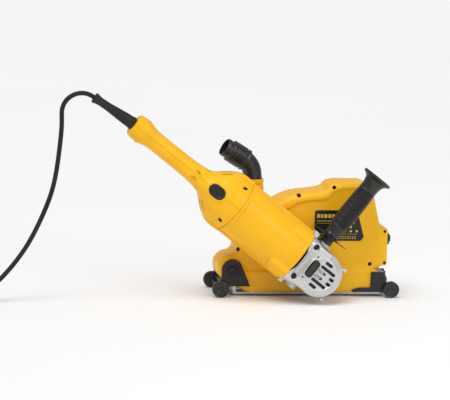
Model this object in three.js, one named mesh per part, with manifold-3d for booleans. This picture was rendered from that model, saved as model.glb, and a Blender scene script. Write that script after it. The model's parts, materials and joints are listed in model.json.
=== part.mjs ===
import * as THREE from 'three';
import { mergeVertices } from 'three/addons/utils/BufferGeometryUtils.js';
import Module from 'manifold-3d';

const wasm = await Module();
wasm.setup();

// Wall chaser: an angle grinder clamped to a dust shroud that plunges on a roller base.
// Millimetres, X forward, Z up, the grinder on the -Y side of the shroud.
// The drawing frame has X = 0 on the spindle, Y = 0 in the shroud's middle and Z = 0 on the floor.

const GAP = 0.3;
const RAD = Math.PI / 180;

// ---- Grinder, laid out from the crossing of the spindle and the motor axis ----
const GRINDER_TILT = 37.8;
const SPINDLE_HEIGHT = 57;
const BODY_AXIS_SIDE = 92;
const GEARCASE_RADIUS = 42;
const GEARCASE_WALL = 5;
const GEARCASE_TOP = 44;
const GEARCASE_BOTTOM = -30;
const LUG_BACK = 39.5;
const LUG_SPREAD = 36;
const LUG_LOW = 8;
const LUG_HIGH = 24;
const CORNER_LUG_SPREAD = 33;
const CORNER_LUG_RISE = 29;
const CORNER_LUG_RADIUS = 9;
const HOUSING_START = 50;
const HOUSING_END = 190.7;
const HOUSING_RADIUS = 51;
const HOUSING_RIM = 1.5;
const HOUSING_WALL = 5;
const HOUSING_REAR_WALL = 6.7;
const SPINDLE_RADIUS = 10;
const SPINDLE_TIP_RADIUS = 5;
const SPINDLE_THREAD_RADIUS = 7;
const SPINDLE_BEARING_RADIUS = 19;
const NEEDLE_BEARING_RADIUS = 8;
const NECK_RADIUS = 30;
const COLLAR_WALL = 6;
const CROWN_RADIUS = 33;
const CROWN_TOP = -10;
const CROWN_THICKNESS = 14;
const PINION_RADIUS = 8.5;
const SHAFT_RADIUS = 5;
const SHAFT_START = 23;
const ARMATURE_BEARING_RADIUS = 16;
const REAR_BEARING_RADIUS = 11;
const ARMATURE_RADIUS = 27.5;
const FIELD_BORE_RADIUS = 29;
const FAN_RADIUS = 40;
const COMMUTATOR_RADIUS = 15;
const FLANGE_RADIUS = 25;
const FLANGE_THICKNESS = 6;
const FLANGE_SEAT = 6;
const FLANGE_RELIEF = 1;
const SPACER_THICKNESS = 20;
const NUT_THICKNESS = 9;
const LOCK_BUTTON_START = 12;
const LOCK_BUTTON_LENGTH = 13;
const LOCK_BUTTON_WIDTH = 31;
const LOCK_BUTTON_HEIGHT = 3.5;
const LOCK_PIN_RADIUS = 2.2;
const LOCK_TRAVEL = 4;

// ---- Rear handle ----
const HANDLE_WALL = 3;
const HANDLE_END = 428;
const HANDLE_WAIST = 18;
const HANDLE_HEAD = 23;
const HANDLE_DEPTH = 22;
const SHOULDER_SLOPE = 21.8;
const SWITCH_LOCK_AT = 242;
const SWITCH_LOCK_SURFACE = 39.2;
const SWITCH_LOCK_LENGTH = 32;
const SWITCH_LOCK_WIDTH = 22;
const TRIGGER_WIDTH = 14;
const TRIGGER_START = 280;
const TRIGGER_PIVOT = 346;

// ---- Side handle ----
const SIDE_HANDLE_BACK = 19;
const SIDE_HANDLE_DROP = -2;
const SIDE_BOSS_RADIUS = 10.4;
const SIDE_BOSS_END = 61;
const GUARD_RADIUS = 37;
const GUARD_THICKNESS = 4;
const GRIP_LENGTH = 136;
const GRIP_RADIUS = 18;
const GRIP_END_RADIUS = 28.5;
const STUD_RADIUS = 5;

// ---- Shroud ----
const SHROUD_WIDTH = 76;
const SHROUD_WALL = 3;
const SHROUD_BOTTOM = 8;
const SHROUD_TOP = 207;
const SHROUD_FRONT = 137;
const SHROUD_LOW_FRONT = 108;
const SHROUD_REAR_FOOT = -107;
const FLANGE_DEPTH = 7.5;
const PIVOT_BACK = -143;
const PIVOT_HEIGHT = 48.5;
const DRUM_RADIUS = 20;
const PIVOT_BOLT_RADIUS = 4;
const BUSH_WALL = 3.7;
const DUCT_BACK = -105;
const DUCT_TOP = 195;
const DUCT_BORE_RADIUS = 17.5;
const COLLAR_HEIGHT = 16;
const LABEL_THICKNESS = 0.6;

// ---- Dust elbow ----
const ELBOW_WALL = 2.6;
const ELBOW_CORNER_HEIGHT = 235.8;
const ELBOW_RISE = 31.5;
const ELBOW_SWIVEL = 8.3;
const ELBOW_REACH = 64.5;
const ADAPTER_WALL = 2;

// ---- Base ----
const ROLLER_RADIUS = 15;
const ROLLER_WIDTH = 9;
const TRACK_WIDTH = 110;
const REAR_AXLE_BACK = -165.5;
const FRONT_AXLE_AHEAD = 150.5;
const AXLE_RADIUS = 3;
const BRACKET_THICKNESS = 5.8;
const BRACKET_BOTTOM = 19;
const SOLE_BOTTOM = 3.4;
const SOLE_THICKNESS = 4.2;
const SOLE_RAIL_WIDTH = 8;
const SOLE_HALF_WIDTH = 34;
const FRONT_BLOCK_BACK = 114.6;
const FRONT_BLOCK_AHEAD = 139.2;
const FRONT_BLOCK_TOP = 46;
const GUIDE_RADIUS = 264.5;
const GUIDE_THICKNESS = 5;
const GUIDE_WIDTH = 12;
const GUIDE_SWEEP = 26;
const KNOB_HEIGHT = 36.5;
const KNOB_RADIUS = 9.5;

// ---- Cord ----
const CORD_RADIUS = 4.2;
const GUARD_LENGTH = 84;
const GUARD_DROOP = 4.8;
const COIL_AT = [-668, -45];
const COIL_RADIUS = 46;
const COIL_COLUMNS = 4;
const COIL_LAYERS = 4;
const PLUG_RADIUS = 15;

const paint = {
  yellow: () => new THREE.MeshStandardMaterial({ color: 0xf2b41c, roughness: 0.42, metalness: 0 }),
  charcoal: () => new THREE.MeshStandardMaterial({ color: 0x2c2c2b, roughness: 0.5, metalness: 0.3 }),
  alloy: () => new THREE.MeshStandardMaterial({ color: 0xb9bcbd, roughness: 0.38, metalness: 0.9 }),
  steel: () => new THREE.MeshStandardMaterial({ color: 0x8d9092, roughness: 0.3, metalness: 1 }),
  black: () => new THREE.MeshStandardMaterial({ color: 0x141414, roughness: 0.45, metalness: 0 }),
  rubber: () => new THREE.MeshStandardMaterial({ color: 0x161616, roughness: 0.75, metalness: 0 }),
  copper: () => new THREE.MeshStandardMaterial({ color: 0xa85a2a, roughness: 0.4, metalness: 0.8 }),
  brass: () => new THREE.MeshStandardMaterial({ color: 0xb98a3c, roughness: 0.35, metalness: 0.9 }),
};

// ---- Shape helpers ----

function toSolid(geometry) {
  const bare = geometry.clone();
  bare.deleteAttribute('normal');
  bare.deleteAttribute('uv');
  const merged = mergeVertices(bare, 1e-4);
  const vertProperties = new Float32Array(merged.attributes.position.array);
  const triVerts = new Uint32Array(merged.index.array);
  return new wasm.Manifold(new wasm.Mesh({ numProp: 3, vertProperties, triVerts }));
}

function toGeometry(solid) {
  const mesh = solid.getMesh();
  const geometry = new THREE.BufferGeometry();
  geometry.setAttribute('position', new THREE.BufferAttribute(new Float32Array(mesh.vertProperties), 3));
  geometry.setIndex(new THREE.BufferAttribute(new Uint32Array(mesh.triVerts), 1));
  geometry.computeVertexNormals();
  return geometry;
}

function join(first, ...others) {
  let solid = toSolid(first);
  for (const other of others) {
    solid = solid.add(toSolid(other));
  }
  return toGeometry(solid);
}

function cut(body, ...tools) {
  let solid = toSolid(body);
  for (const tool of tools) {
    solid = solid.subtract(toSolid(tool));
  }
  return toGeometry(solid);
}

function keepInside(body, limit) {
  return toGeometry(toSolid(body).intersect(toSolid(limit)));
}

function block(x0, x1, y0, y1, z0, z1) {
  const geometry = new THREE.BoxGeometry(x1 - x0, y1 - y0, z1 - z0);
  return geometry.translate((x0 + x1) / 2, (y0 + y1) / 2, (z0 + z1) / 2);
}

function alongX(geometry) {
  return geometry.rotateZ(-Math.PI / 2);
}

function alongZ(geometry) {
  return geometry.rotateX(Math.PI / 2);
}

function rodY(radius, y0, y1, x = 0, z = 0, sides = 20) {
  return new THREE.CylinderGeometry(radius, radius, y1 - y0, sides).translate(x, (y0 + y1) / 2, z);
}

function rodX(radius, x0, x1, y = 0, z = 0, sides = 20) {
  return alongX(rodY(radius, x0, x1, 0, 0, sides)).translate(0, y, z);
}

function rodZ(radius, z0, z1, x = 0, y = 0, sides = 20) {
  return alongZ(rodY(radius, z0, z1, 0, 0, sides)).translate(x, y, 0);
}

function turned(profile, sides = 20) {
  return new THREE.LatheGeometry(profile.map(([r, h]) => new THREE.Vector2(r, h)), sides);
}

function ringY(inner, outer, y0, y1, sides = 20) {
  return turned([[inner, y0], [outer, y0], [outer, y1], [inner, y1], [inner, y0]], sides);
}

function ringX(inner, outer, x0, x1, sides = 20) {
  return alongX(ringY(inner, outer, x0, x1, sides));
}

// An outline in X and Z, drawn out along Y.
function plateY(outline, y0, y1) {
  const shape = new THREE.Shape(outline.map(([x, z]) => new THREE.Vector2(x, z)));
  const geometry = new THREE.ExtrudeGeometry(shape, { depth: y1 - y0, bevelEnabled: false });
  return geometry.rotateX(Math.PI / 2).translate(0, y1, 0);
}

function arcPoints(x, z, radius, fromDegrees, toDegrees, steps) {
  const points = [];
  for (let i = 0; i <= steps; i += 1) {
    const angle = (fromDegrees + ((toDegrees - fromDegrees) * i) / steps) * RAD;
    points.push([x + radius * Math.cos(angle), z + radius * Math.sin(angle)]);
  }
  return points;
}

// An oval outline, long along its first axis.
function ovalPoints(length, width, sides = 24) {
  const points = [];
  for (let i = 0; i < sides; i += 1) {
    const angle = (2 * Math.PI * i) / sides;
    points.push([(length / 2) * Math.cos(angle), (width / 2) * Math.sin(angle)]);
  }
  return points;
}

// A closed outline drawn in by a wall's thickness, its corners mitred.
function inset(outline, distance) {
  const count = outline.length;
  return outline.map((point, i) => {
    const before = outline[(i + count - 1) % count];
    const after = outline[(i + 1) % count];
    const inward = (a, b) => {
      const length = Math.hypot(b[0] - a[0], b[1] - a[1]);
      return [-(b[1] - a[1]) / length, (b[0] - a[0]) / length];
    };
    const n1 = inward(before, point);
    const n2 = inward(point, after);
    const share = 1 + n1[0] * n2[0] + n1[1] * n2[1];
    return [
      point[0] + (distance * (n1[0] + n2[0])) / share,
      point[1] + (distance * (n1[1] + n2[1])) / share,
    ];
  });
}

// A turned body whose depth differs from its width: stations of [along, half width, half depth].
function ovalBody(stations, sides = 20) {
  const first = stations[0];
  const last = stations[stations.length - 1];
  const profile = [[0, first[0]], ...stations.map(([along, wide]) => [wide, along]), [0, last[0]]];
  const geometry = turned(profile, sides);
  const position = geometry.attributes.position;
  const ratioAt = new Map(stations.map(([along, wide, deep]) => [Math.fround(along), deep / wide]));
  for (let i = 0; i < position.count; i += 1) {
    position.setX(i, -position.getX(i) * ratioAt.get(position.getY(i)));
  }
  return geometry.scale(-1, 1, 1).rotateZ(-Math.PI / 2);
}

const machine = new THREE.Group();
const grinder = new THREE.Group();
machine.add(grinder);

const CORD_NAMES = ['cord_tube', 'cord_coil', 'cord_plug'];

function place(parent, name, material, geometry) {
  const mesh = new THREE.Mesh(geometry, material);
  mesh.name = name;
  parent.add(mesh);
  return mesh;
}

// The grinder's own axes: X back along the motor, Y away from the shroud, Z to the side-handle side.
const tilt = GRINDER_TILT * RAD;
const motorBack = new THREE.Vector3(-Math.cos(tilt), 0, Math.sin(tilt));
const awayFromShroud = new THREE.Vector3(0, -1, 0);
const sideways = new THREE.Vector3(Math.sin(tilt), 0, Math.cos(tilt));
grinder.quaternion.setFromRotationMatrix(
  new THREE.Matrix4().makeBasis(motorBack, awayFromShroud, sideways),
);
grinder.position.set(0, -BODY_AXIS_SIDE, SPINDLE_HEIGHT);

const halfShroud = SHROUD_WIDTH / 2;
const shroudFaceY = halfShroud - BODY_AXIS_SIDE;

// ---- Gear end ----

function buildGearcase() {
  const lugRadius = SPINDLE_HEIGHT - LUG_BACK * Math.sin(tilt) - LUG_SPREAD * Math.cos(tilt);
  const rearFace = HOUSING_START - GAP;
  const bulkhead = rearFace - 8.7;
  const cone = alongX(turned([[0, 0], [38, 0], [HOUSING_RADIUS - 2, rearFace - 4],
    [HOUSING_RADIUS - 2, rearFace], [0, rearFace]]));
  const coneInside = alongX(turned([[0, 0], [38 - GEARCASE_WALL, 0], [41, bulkhead], [0, bulkhead]]));
  const parts = [
    keepInside(cone, block(-1, rearFace + 1, GEARCASE_BOTTOM, GEARCASE_TOP, -60, 60)),
    rodX(HOUSING_RADIUS - 2, GEARCASE_RADIUS + 1, rearFace, 0, 0, 36),
  ];
  for (const side of [1, -1]) {
    parts.push(rodY(lugRadius, LUG_LOW, LUG_HIGH, -LUG_BACK, side * LUG_SPREAD, 20));
    parts.push(rodY(lugRadius + 3, LUG_LOW, LUG_HIGH, -LUG_BACK * 0.84, side * LUG_SPREAD * 0.84, 12));
    for (const rise of [1, -1]) {
      parts.push(rodX(CORNER_LUG_RADIUS, rise > 0 ? 24 : GEARCASE_RADIUS + 1, rearFace,
        rise * CORNER_LUG_RISE, side * CORNER_LUG_SPREAD, 12));
    }
  }
  parts.push(rodZ(SIDE_BOSS_RADIUS, 30, SIDE_BOSS_END, SIDE_HANDLE_BACK, SIDE_HANDLE_DROP));
  parts.push(rodZ(SIDE_BOSS_RADIUS, -52, -30, SIDE_HANDLE_BACK, SIDE_HANDLE_DROP));
  const chamfer = 5;
  const drum = turned([[0, GEARCASE_BOTTOM], [GEARCASE_RADIUS, GEARCASE_BOTTOM],
    [GEARCASE_RADIUS, GEARCASE_TOP - chamfer], [GEARCASE_RADIUS - chamfer, GEARCASE_TOP], [0, GEARCASE_TOP]], 36);
  const outside = join(drum, ...parts);
  const cavityTop = GEARCASE_TOP - GEARCASE_WALL - 1;
  const boss = ringY(NEEDLE_BEARING_RADIUS + GAP, NEEDLE_BEARING_RADIUS + 3.6, 22, cavityTop + 1);
  const lockHole = plateY(
    ovalPoints(LOCK_BUTTON_LENGTH + 2 * GAP, LOCK_BUTTON_WIDTH + 2 * GAP, 16)
      .map(([x, z]) => [x + LOCK_BUTTON_START + LOCK_BUTTON_LENGTH / 2, z]),
    cavityTop - 1,
    GEARCASE_TOP + 1,
  );
  const slots = [];
  for (const spread of [-24, -14, -5, 5, 14, 24]) {
    const reach = Math.sqrt(29 * 29 - spread * spread);
    slots.push(block(-reach, 9, GEARCASE_TOP - 4, GEARCASE_TOP + 1, spread - 2.8, spread + 2.8));
  }
  const hollow = cut(
    outside,
    rodY(GEARCASE_RADIUS - GEARCASE_WALL, GEARCASE_BOTTOM - 1, cavityTop),
    coneInside,
    rodX(ARMATURE_BEARING_RADIUS + GAP, bulkhead - 1, rearFace + 1),
    rodZ(STUD_RADIUS + GAP, 44, SIDE_BOSS_END + 1, SIDE_HANDLE_BACK, SIDE_HANDLE_DROP, 16),
    ...slots,
  );
  return cut(join(hollow, boss), lockHole);
}

function buildBearingCover() {
  const plateBottom = GEARCASE_BOTTOM - 10;
  const seatTop = GEARCASE_BOTTOM - GAP;
  const body = join(
    rodY(GEARCASE_RADIUS - 1, plateBottom, seatTop, 0, 0, 36),
    rodY(NECK_RADIUS, shroudFaceY - 2, plateBottom + 1, 0, 0, 36),
  );
  return cut(
    body,
    rodY(SPINDLE_BEARING_RADIUS + GAP, plateBottom, seatTop + 1),
    rodY(SPINDLE_RADIUS + 1, shroudFaceY - 3, plateBottom + 1),
  );
}

function buildClampCollar() {
  const inner = NECK_RADIUS + GAP;
  const outer = inner + COLLAR_WALL;
  const y0 = shroudFaceY + GAP;
  const y1 = GEARCASE_BOTTOM - 10 - GAP;
  const ears = block(-8, 8, y0, y1, outer - 3, outer + 9);
  const split = block(-1.2, 1.2, y0 - 1, y1 + 1, inner - 2, outer + 10);
  return cut(join(ringY(inner, outer, y0, y1, 36), ears), rodY(inner, y0 - 1, y1 + 1, 0, 0, 36), split);
}

const stackStart = shroudFaceY - 18;
const flangeEnd = stackStart - FLANGE_THICKNESS;
const spacerEnd = flangeEnd - GAP - SPACER_THICKNESS;
const nutEnd = spacerEnd - GAP - NUT_THICKNESS;

function buildSpindle() {
  const shoulder = stackStart + GAP;
  return turned([[0, nutEnd + 1], [SPINDLE_THREAD_RADIUS, nutEnd + 1], [SPINDLE_THREAD_RADIUS, shoulder],
    [SPINDLE_RADIUS, shoulder], [SPINDLE_RADIUS, 20], [SPINDLE_TIP_RADIUS, 21],
    [SPINDLE_TIP_RADIUS, GEARCASE_TOP - GEARCASE_WALL - 3], [0, GEARCASE_TOP - GEARCASE_WALL - 3]]);
}

function buildClampNut() {
  const body = ringY(SPINDLE_THREAD_RADIUS + GAP, FLANGE_RADIUS - 3, nutEnd, spacerEnd - GAP);
  const holes = [0, 1, 2, 3].map((i) => rodY(2.5, nutEnd - 1, nutEnd + 4,
    15 * Math.cos((i * Math.PI) / 2), 15 * Math.sin((i * Math.PI) / 2), 10));
  return cut(body, ...holes);
}

function buildCrownGear() {
  const bottom = CROWN_TOP - CROWN_THICKNESS;
  const inner = SPINDLE_RADIUS + GAP;
  return turned([[inner, bottom], [CROWN_RADIUS, bottom], [CROWN_RADIUS, CROWN_TOP - 4],
    [CROWN_RADIUS - 12, CROWN_TOP], [inner, CROWN_TOP], [inner, bottom]], 32);
}

function buildSpindleLock() {
  const middle = LOCK_BUTTON_START + LOCK_BUTTON_LENGTH / 2;
  const cap = plateY(
    ovalPoints(LOCK_BUTTON_LENGTH, LOCK_BUTTON_WIDTH, 16).map(([x, z]) => [x + middle, z]),
    GEARCASE_TOP - GEARCASE_WALL - 1,
    GEARCASE_TOP + LOCK_BUTTON_HEIGHT,
  );
  const pinTip = CROWN_TOP + LOCK_TRAVEL + 0.5;
  return join(cap, rodY(LOCK_PIN_RADIUS, pinTip, GEARCASE_TOP - 2, middle - 0.5, 0, 12));
}

place(grinder, 'gearcase', paint.alloy(), buildGearcase());
place(grinder, 'bearing_cover', paint.alloy(), buildBearingCover());
place(grinder, 'clamp_collar', paint.steel(), buildClampCollar());
place(grinder, 'spindle', paint.steel(), buildSpindle());
place(grinder, 'crown_gear', paint.steel(), buildCrownGear());
place(grinder, 'spindle_lock_button', paint.black(), buildSpindleLock());
place(grinder, 'spindle_bearing_lower', paint.steel(),
  ringY(SPINDLE_RADIUS + GAP, SPINDLE_BEARING_RADIUS, GEARCASE_BOTTOM - 10 + GAP, GEARCASE_BOTTOM - 1));
place(grinder, 'spindle_bearing_upper', paint.steel(),
  ringY(SPINDLE_TIP_RADIUS + GAP, NEEDLE_BEARING_RADIUS, 23, GEARCASE_TOP - GEARCASE_WALL - 3, 20));
place(grinder, 'inner_flange', paint.steel(), join(
  ringY(SPINDLE_THREAD_RADIUS + GAP, FLANGE_RADIUS, flangeEnd + FLANGE_RELIEF, stackStart),
  ringY(FLANGE_RADIUS - FLANGE_SEAT, FLANGE_RADIUS, flangeEnd, stackStart)));
place(grinder, 'spacer_ring', paint.steel(),
  ringY(SPINDLE_THREAD_RADIUS + GAP, FLANGE_RADIUS - FLANGE_SEAT - 1, spacerEnd, flangeEnd - GAP));
place(grinder, 'clamp_nut', paint.steel(), buildClampNut());

// ---- Motor ----

function buildMotorHousing() {
  const bore = HOUSING_RADIUS - HOUSING_WALL;
  const rim = HOUSING_RADIUS + HOUSING_RIM;
  const wallStart = HOUSING_END - HOUSING_REAR_WALL;
  const tube = alongX(turned([[bore, HOUSING_START], [rim, HOUSING_START], [rim, HOUSING_START + 6],
    [HOUSING_RADIUS, HOUSING_START + 8], [HOUSING_RADIUS, HOUSING_END], [REAR_BEARING_RADIUS + GAP, HOUSING_END],
    [REAR_BEARING_RADIUS + GAP, wallStart], [bore, wallStart], [bore, HOUSING_START]], 32));
  const vents = [0, 1, 2, 3].map((i) => {
    const angle = (i * Math.PI) / 2 + Math.PI / 4;
    return rodX(7, wallStart - 1, HOUSING_END + 1, 28 * Math.cos(angle), 28 * Math.sin(angle), 12);
  });
  return cut(tube, ...vents);
}

const fieldOuter = HOUSING_RADIUS - HOUSING_WALL - GAP;
const shaftBore = SHAFT_RADIUS + GAP;
const fieldStart = HOUSING_START + 46;
const fieldEnd = fieldStart + 56;
const rearWallStart = HOUSING_END - HOUSING_REAR_WALL;

place(grinder, 'motor_housing', paint.yellow(), buildMotorHousing());
place(grinder, 'armature_bearing_front', paint.steel(),
  ringX(shaftBore, ARMATURE_BEARING_RADIUS, HOUSING_START - 8, HOUSING_START - 1));
place(grinder, 'armature_bearing_rear', paint.steel(),
  ringX(shaftBore, REAR_BEARING_RADIUS, rearWallStart + GAP, HOUSING_END - GAP, 20));
place(grinder, 'fan_baffle', paint.black(),
  ringX(FIELD_BORE_RADIUS, fieldOuter, HOUSING_START + 28, HOUSING_START + 31));
place(grinder, 'field_coil_front', paint.copper(),
  ringX(FIELD_BORE_RADIUS + 1, fieldOuter - 3, fieldStart - GAP - 11, fieldStart - GAP));
place(grinder, 'field_core', paint.steel(), ringX(FIELD_BORE_RADIUS, fieldOuter, fieldStart, fieldEnd));
place(grinder, 'field_coil_rear', paint.copper(),
  ringX(FIELD_BORE_RADIUS + 1, fieldOuter - 3, fieldEnd + GAP, fieldEnd + GAP + 10));
place(grinder, 'armature_shaft', paint.steel(), rodX(SHAFT_RADIUS, SHAFT_START - 1, HOUSING_END + 2, 0, 0, 20));
place(grinder, 'motor_pinion', paint.steel(),
  alongX(turned([[shaftBore, SHAFT_START], [PINION_RADIUS - 2.5, SHAFT_START], [PINION_RADIUS, SHAFT_START + 12],
    [shaftBore, SHAFT_START + 12], [shaftBore, SHAFT_START]], 20)));
place(grinder, 'armature_core', paint.copper(), ringX(shaftBore, ARMATURE_RADIUS, fieldStart - 4, fieldEnd + 4));
place(grinder, 'commutator', paint.copper(),
  ringX(shaftBore, COMMUTATOR_RADIUS, fieldEnd + 12, fieldEnd + 28));
place(grinder, 'cooling_fan', paint.black(), ringX(shaftBore, FAN_RADIUS, HOUSING_START + 14, HOUSING_START + 25));
for (const [name, side] of [['brush_holder_upper', 1], ['brush_holder_lower', -1]]) {
  const inner = COMMUTATOR_RADIUS + 1;
  const outer = fieldOuter - 2;
  const reach = side > 0 ? [inner, outer] : [-outer, -inner];
  place(grinder, name, paint.brass(), block(fieldEnd + 14, fieldEnd + 26, -6, 6, reach[0], reach[1]));
}

// ---- Rear handle ----

// Stations of [along, half width, half depth] from the motor seam to the handle's end.
const handleStart = HOUSING_END + GAP;
const handleStations = [
  [handleStart, HOUSING_RADIUS - 1, HOUSING_RADIUS - 2],
  [217, HOUSING_RADIUS - 3, HOUSING_RADIUS - 4],
  [235, HOUSING_RADIUS - 14, HOUSING_RADIUS - 9],
  [255, HANDLE_WAIST + 6.5, HOUSING_RADIUS - 17],
  [275, HANDLE_WAIST + 0.5, HANDLE_DEPTH + 4],
  [305, HANDLE_WAIST - 0.5, HANDLE_DEPTH],
  [385, HANDLE_WAIST, HANDLE_DEPTH],
  [397, HANDLE_HEAD - 2, HANDLE_DEPTH + 2],
  [407, HANDLE_HEAD, HANDLE_DEPTH + 3],
  [421, HANDLE_HEAD - 1, HANDLE_DEPTH + 2],
  [HANDLE_END, HANDLE_HEAD - 4, HANDLE_DEPTH - 1],
];

function buildHandleBody() {
  const inside = handleStations.map(([along, wide, deep]) => [along, wide - HANDLE_WALL, deep - HANDLE_WALL]);
  inside[0][0] -= 1;
  inside[inside.length - 1][0] -= HANDLE_WALL + 1;
  return cut(
    ovalBody(handleStations),
    ovalBody(inside),
    rodX(9.2, HANDLE_END - 10, HANDLE_END + 5, 0, 0, 20),
  );
}

// The oval of the switch-lock button, standing square on the sloping shoulder.
function switchLockPrism(length, width, low, high) {
  const prism = plateY(ovalPoints(length, width), low, high);
  return prism.rotateZ(-SHOULDER_SLOPE * RAD).translate(SWITCH_LOCK_AT, SWITCH_LOCK_SURFACE, 0);
}

// The handle is a clamshell: two halves that meet in the plane of the motor and the spindle.
function buildHandleHalf(side) {
  const half = side > 0
    ? block(handleStart - 1, HANDLE_END + 1, -80, 80, GAP / 2, 80)
    : block(handleStart - 1, HANDLE_END + 1, -80, 80, -80, -GAP / 2);
  const hole = switchLockPrism(SWITCH_LOCK_LENGTH + 2 * GAP, SWITCH_LOCK_WIDTH + 2 * GAP, -9, 9);
  const slotHalf = TRIGGER_WIDTH / 2 + 0.6;
  const slot = block(TRIGGER_START - 4, TRIGGER_PIVOT + 8, -60, -10, -slotHalf, slotHalf);
  return cut(keepInside(buildHandleBody(), half), hole, slot);
}

function buildTrigger() {
  const low = HANDLE_DEPTH + 11;
  const outline = [[TRIGGER_START, -8], [TRIGGER_PIVOT - 2, -8], [TRIGGER_PIVOT + 4, -12],
    [TRIGGER_PIVOT + 4, -19], [TRIGGER_PIVOT - 6, -low + 6], [TRIGGER_PIVOT - 26, -low],
    [TRIGGER_START + 12, -low], [TRIGGER_START, -low + 7]];
  const shape = new THREE.Shape(outline.map(([x, y]) => new THREE.Vector2(x, y)));
  const geometry = new THREE.ExtrudeGeometry(shape, { depth: TRIGGER_WIDTH, bevelEnabled: false });
  return geometry.translate(0, 0, -TRIGGER_WIDTH / 2);
}

function buildStrainRelief() {
  const profile = [[0, -9], [8.4, -9], [8.4, 2], [11.6, 2], [11.6, 6], [10.4, 10], [7.4, GUARD_LENGTH - 22],
    [7.2, GUARD_LENGTH - 12], [9.8, GUARD_LENGTH], [0, GUARD_LENGTH]];
  return alongX(turned(profile, 20)).rotateY(GUARD_DROOP * RAD).translate(HANDLE_END, 0, 0);
}

place(grinder, 'handle_shell_upper', paint.yellow(), buildHandleHalf(1));
place(grinder, 'handle_shell_lower', paint.yellow(), buildHandleHalf(-1));
place(grinder, 'switch_lock_button', paint.black(),
  switchLockPrism(SWITCH_LOCK_LENGTH, SWITCH_LOCK_WIDTH, -8, 1.8));
place(grinder, 'trigger', paint.black(), buildTrigger());
place(grinder, 'switch_module', paint.black(), block(300, 338, 2, 13, -9, 9));
place(grinder, 'strain_relief', paint.rubber(), buildStrainRelief());

// ---- Side handle ----

const gripStart = SIDE_BOSS_END + GAP + GUARD_THICKNESS + GAP;

function buildGrip() {
  const end = gripStart + GRIP_LENGTH;
  const body = alongZ(turned([[0, gripStart], [12, gripStart], [13, gripStart + 8], [GRIP_RADIUS - 1, gripStart + 22],
    [GRIP_RADIUS, gripStart + 60], [GRIP_RADIUS - 1, end - 26], [GRIP_RADIUS + 2, end - 12],
    [GRIP_END_RADIUS, end - 6], [GRIP_END_RADIUS, end], [0, end]], 24));
  return cut(body, rodZ(STUD_RADIUS + GAP, gripStart - 1, gripStart + 26, 0, 0, 16));
}

place(grinder, 'side_handle_grip', paint.black(), buildGrip().translate(SIDE_HANDLE_BACK, SIDE_HANDLE_DROP, 0));
place(grinder, 'side_handle_guard', paint.black(),
  alongZ(ringY(STUD_RADIUS + GAP, GUARD_RADIUS, SIDE_BOSS_END + GAP, SIDE_BOSS_END + GAP + GUARD_THICKNESS, 36))
    .translate(SIDE_HANDLE_BACK, SIDE_HANDLE_DROP, 0));
place(grinder, 'side_handle_stud', paint.steel(),
  rodZ(STUD_RADIUS, 45, gripStart + 25, SIDE_HANDLE_BACK, SIDE_HANDLE_DROP, 16));

// ---- Shroud ----

// The shroud's side outline, from the rear foot forward along the bottom and back over the roof.
const shroudOutline = [
  [SHROUD_REAR_FOOT, SHROUD_BOTTOM],
  [SHROUD_LOW_FRONT, SHROUD_BOTTOM],
  [SHROUD_LOW_FRONT, 52],
  [SHROUD_FRONT, 56],
  [SHROUD_FRONT, 126],
  [SHROUD_FRONT - 8, 132],
  [SHROUD_FRONT - 20, SHROUD_TOP - 27],
  [SHROUD_FRONT - 28, SHROUD_TOP - 5],
  [SHROUD_FRONT - 37, SHROUD_TOP - 1],
  [50, SHROUD_TOP],
  [38, SHROUD_TOP - 2],
  [30, SHROUD_TOP - 10],
  [6, SHROUD_TOP - 18],
  [-27, SHROUD_TOP - 21],
  [-45, SHROUD_TOP - 27],
  [-63, SHROUD_TOP - 34],
  [DUCT_BACK + 33, SHROUD_TOP - 35],
  [DUCT_BACK + 21.5, DUCT_TOP - 6],
  [DUCT_BACK + 21.5, DUCT_TOP],
  [DUCT_BACK - 21.5, DUCT_TOP],
  [DUCT_BACK - 22.5, DUCT_TOP - 6],
  ...arcPoints(PIVOT_BACK, PIVOT_HEIGHT, DRUM_RADIUS, 166, 308, 12),
];

function buildShroudShell(near) {
  const outer = near ? -halfShroud : halfShroud;
  const [y0, y1] = near ? [-halfShroud, -GAP / 2] : [GAP / 2, halfShroud];
  const hollowHalf = halfShroud - SHROUD_WALL;
  const [h0, h1] = near ? [-hollowHalf, 1] : [-1, hollowHalf];
  const [f0, f1] = near ? [-halfShroud + 2, -GAP / 2] : [GAP / 2, halfShroud - 2];
  const shell = join(
    plateY(shroudOutline, y0, y1),
    block(SHROUD_FRONT - 1, SHROUD_FRONT + FLANGE_DEPTH, f0, f1, 56, 125),
  );
  const guideHalf = GUIDE_WIDTH / 2 + 1.5;
  const guideAt = PIVOT_BACK + GUIDE_RADIUS;
  const tools = [
    plateY(inset(shroudOutline, SHROUD_WALL), h0, h1),
    block(SHROUD_REAR_FOOT + 6, SHROUD_LOW_FRONT - SHROUD_WALL, h0, h1, 0, SHROUD_BOTTOM + 6),
    rodZ(DUCT_BORE_RADIUS, DUCT_TOP - 12, DUCT_TOP + 2, DUCT_BACK, 0),
    block(guideAt - 8, guideAt + 8, -guideHalf, guideHalf, 44, 64),
    rodY(PIVOT_BOLT_RADIUS + BUSH_WALL + 2 * GAP, outer - 6, outer + 6, PIVOT_BACK, PIVOT_HEIGHT, 24),
  ];
  if (near) {
    tools.push(rodY(NECK_RADIUS + 2 * GAP, outer - 6, outer + 6, 0, SPINDLE_HEIGHT, 36));
  }
  return cut(shell, ...tools);
}

function buildLabel() {
  const outline = [[6, 103], [93, 103], [98, 110], [88, 146], [78, 159], [6, 159]];
  return plateY(outline, -halfShroud - GAP - LABEL_THICKNESS, -halfShroud - GAP);
}

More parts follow.
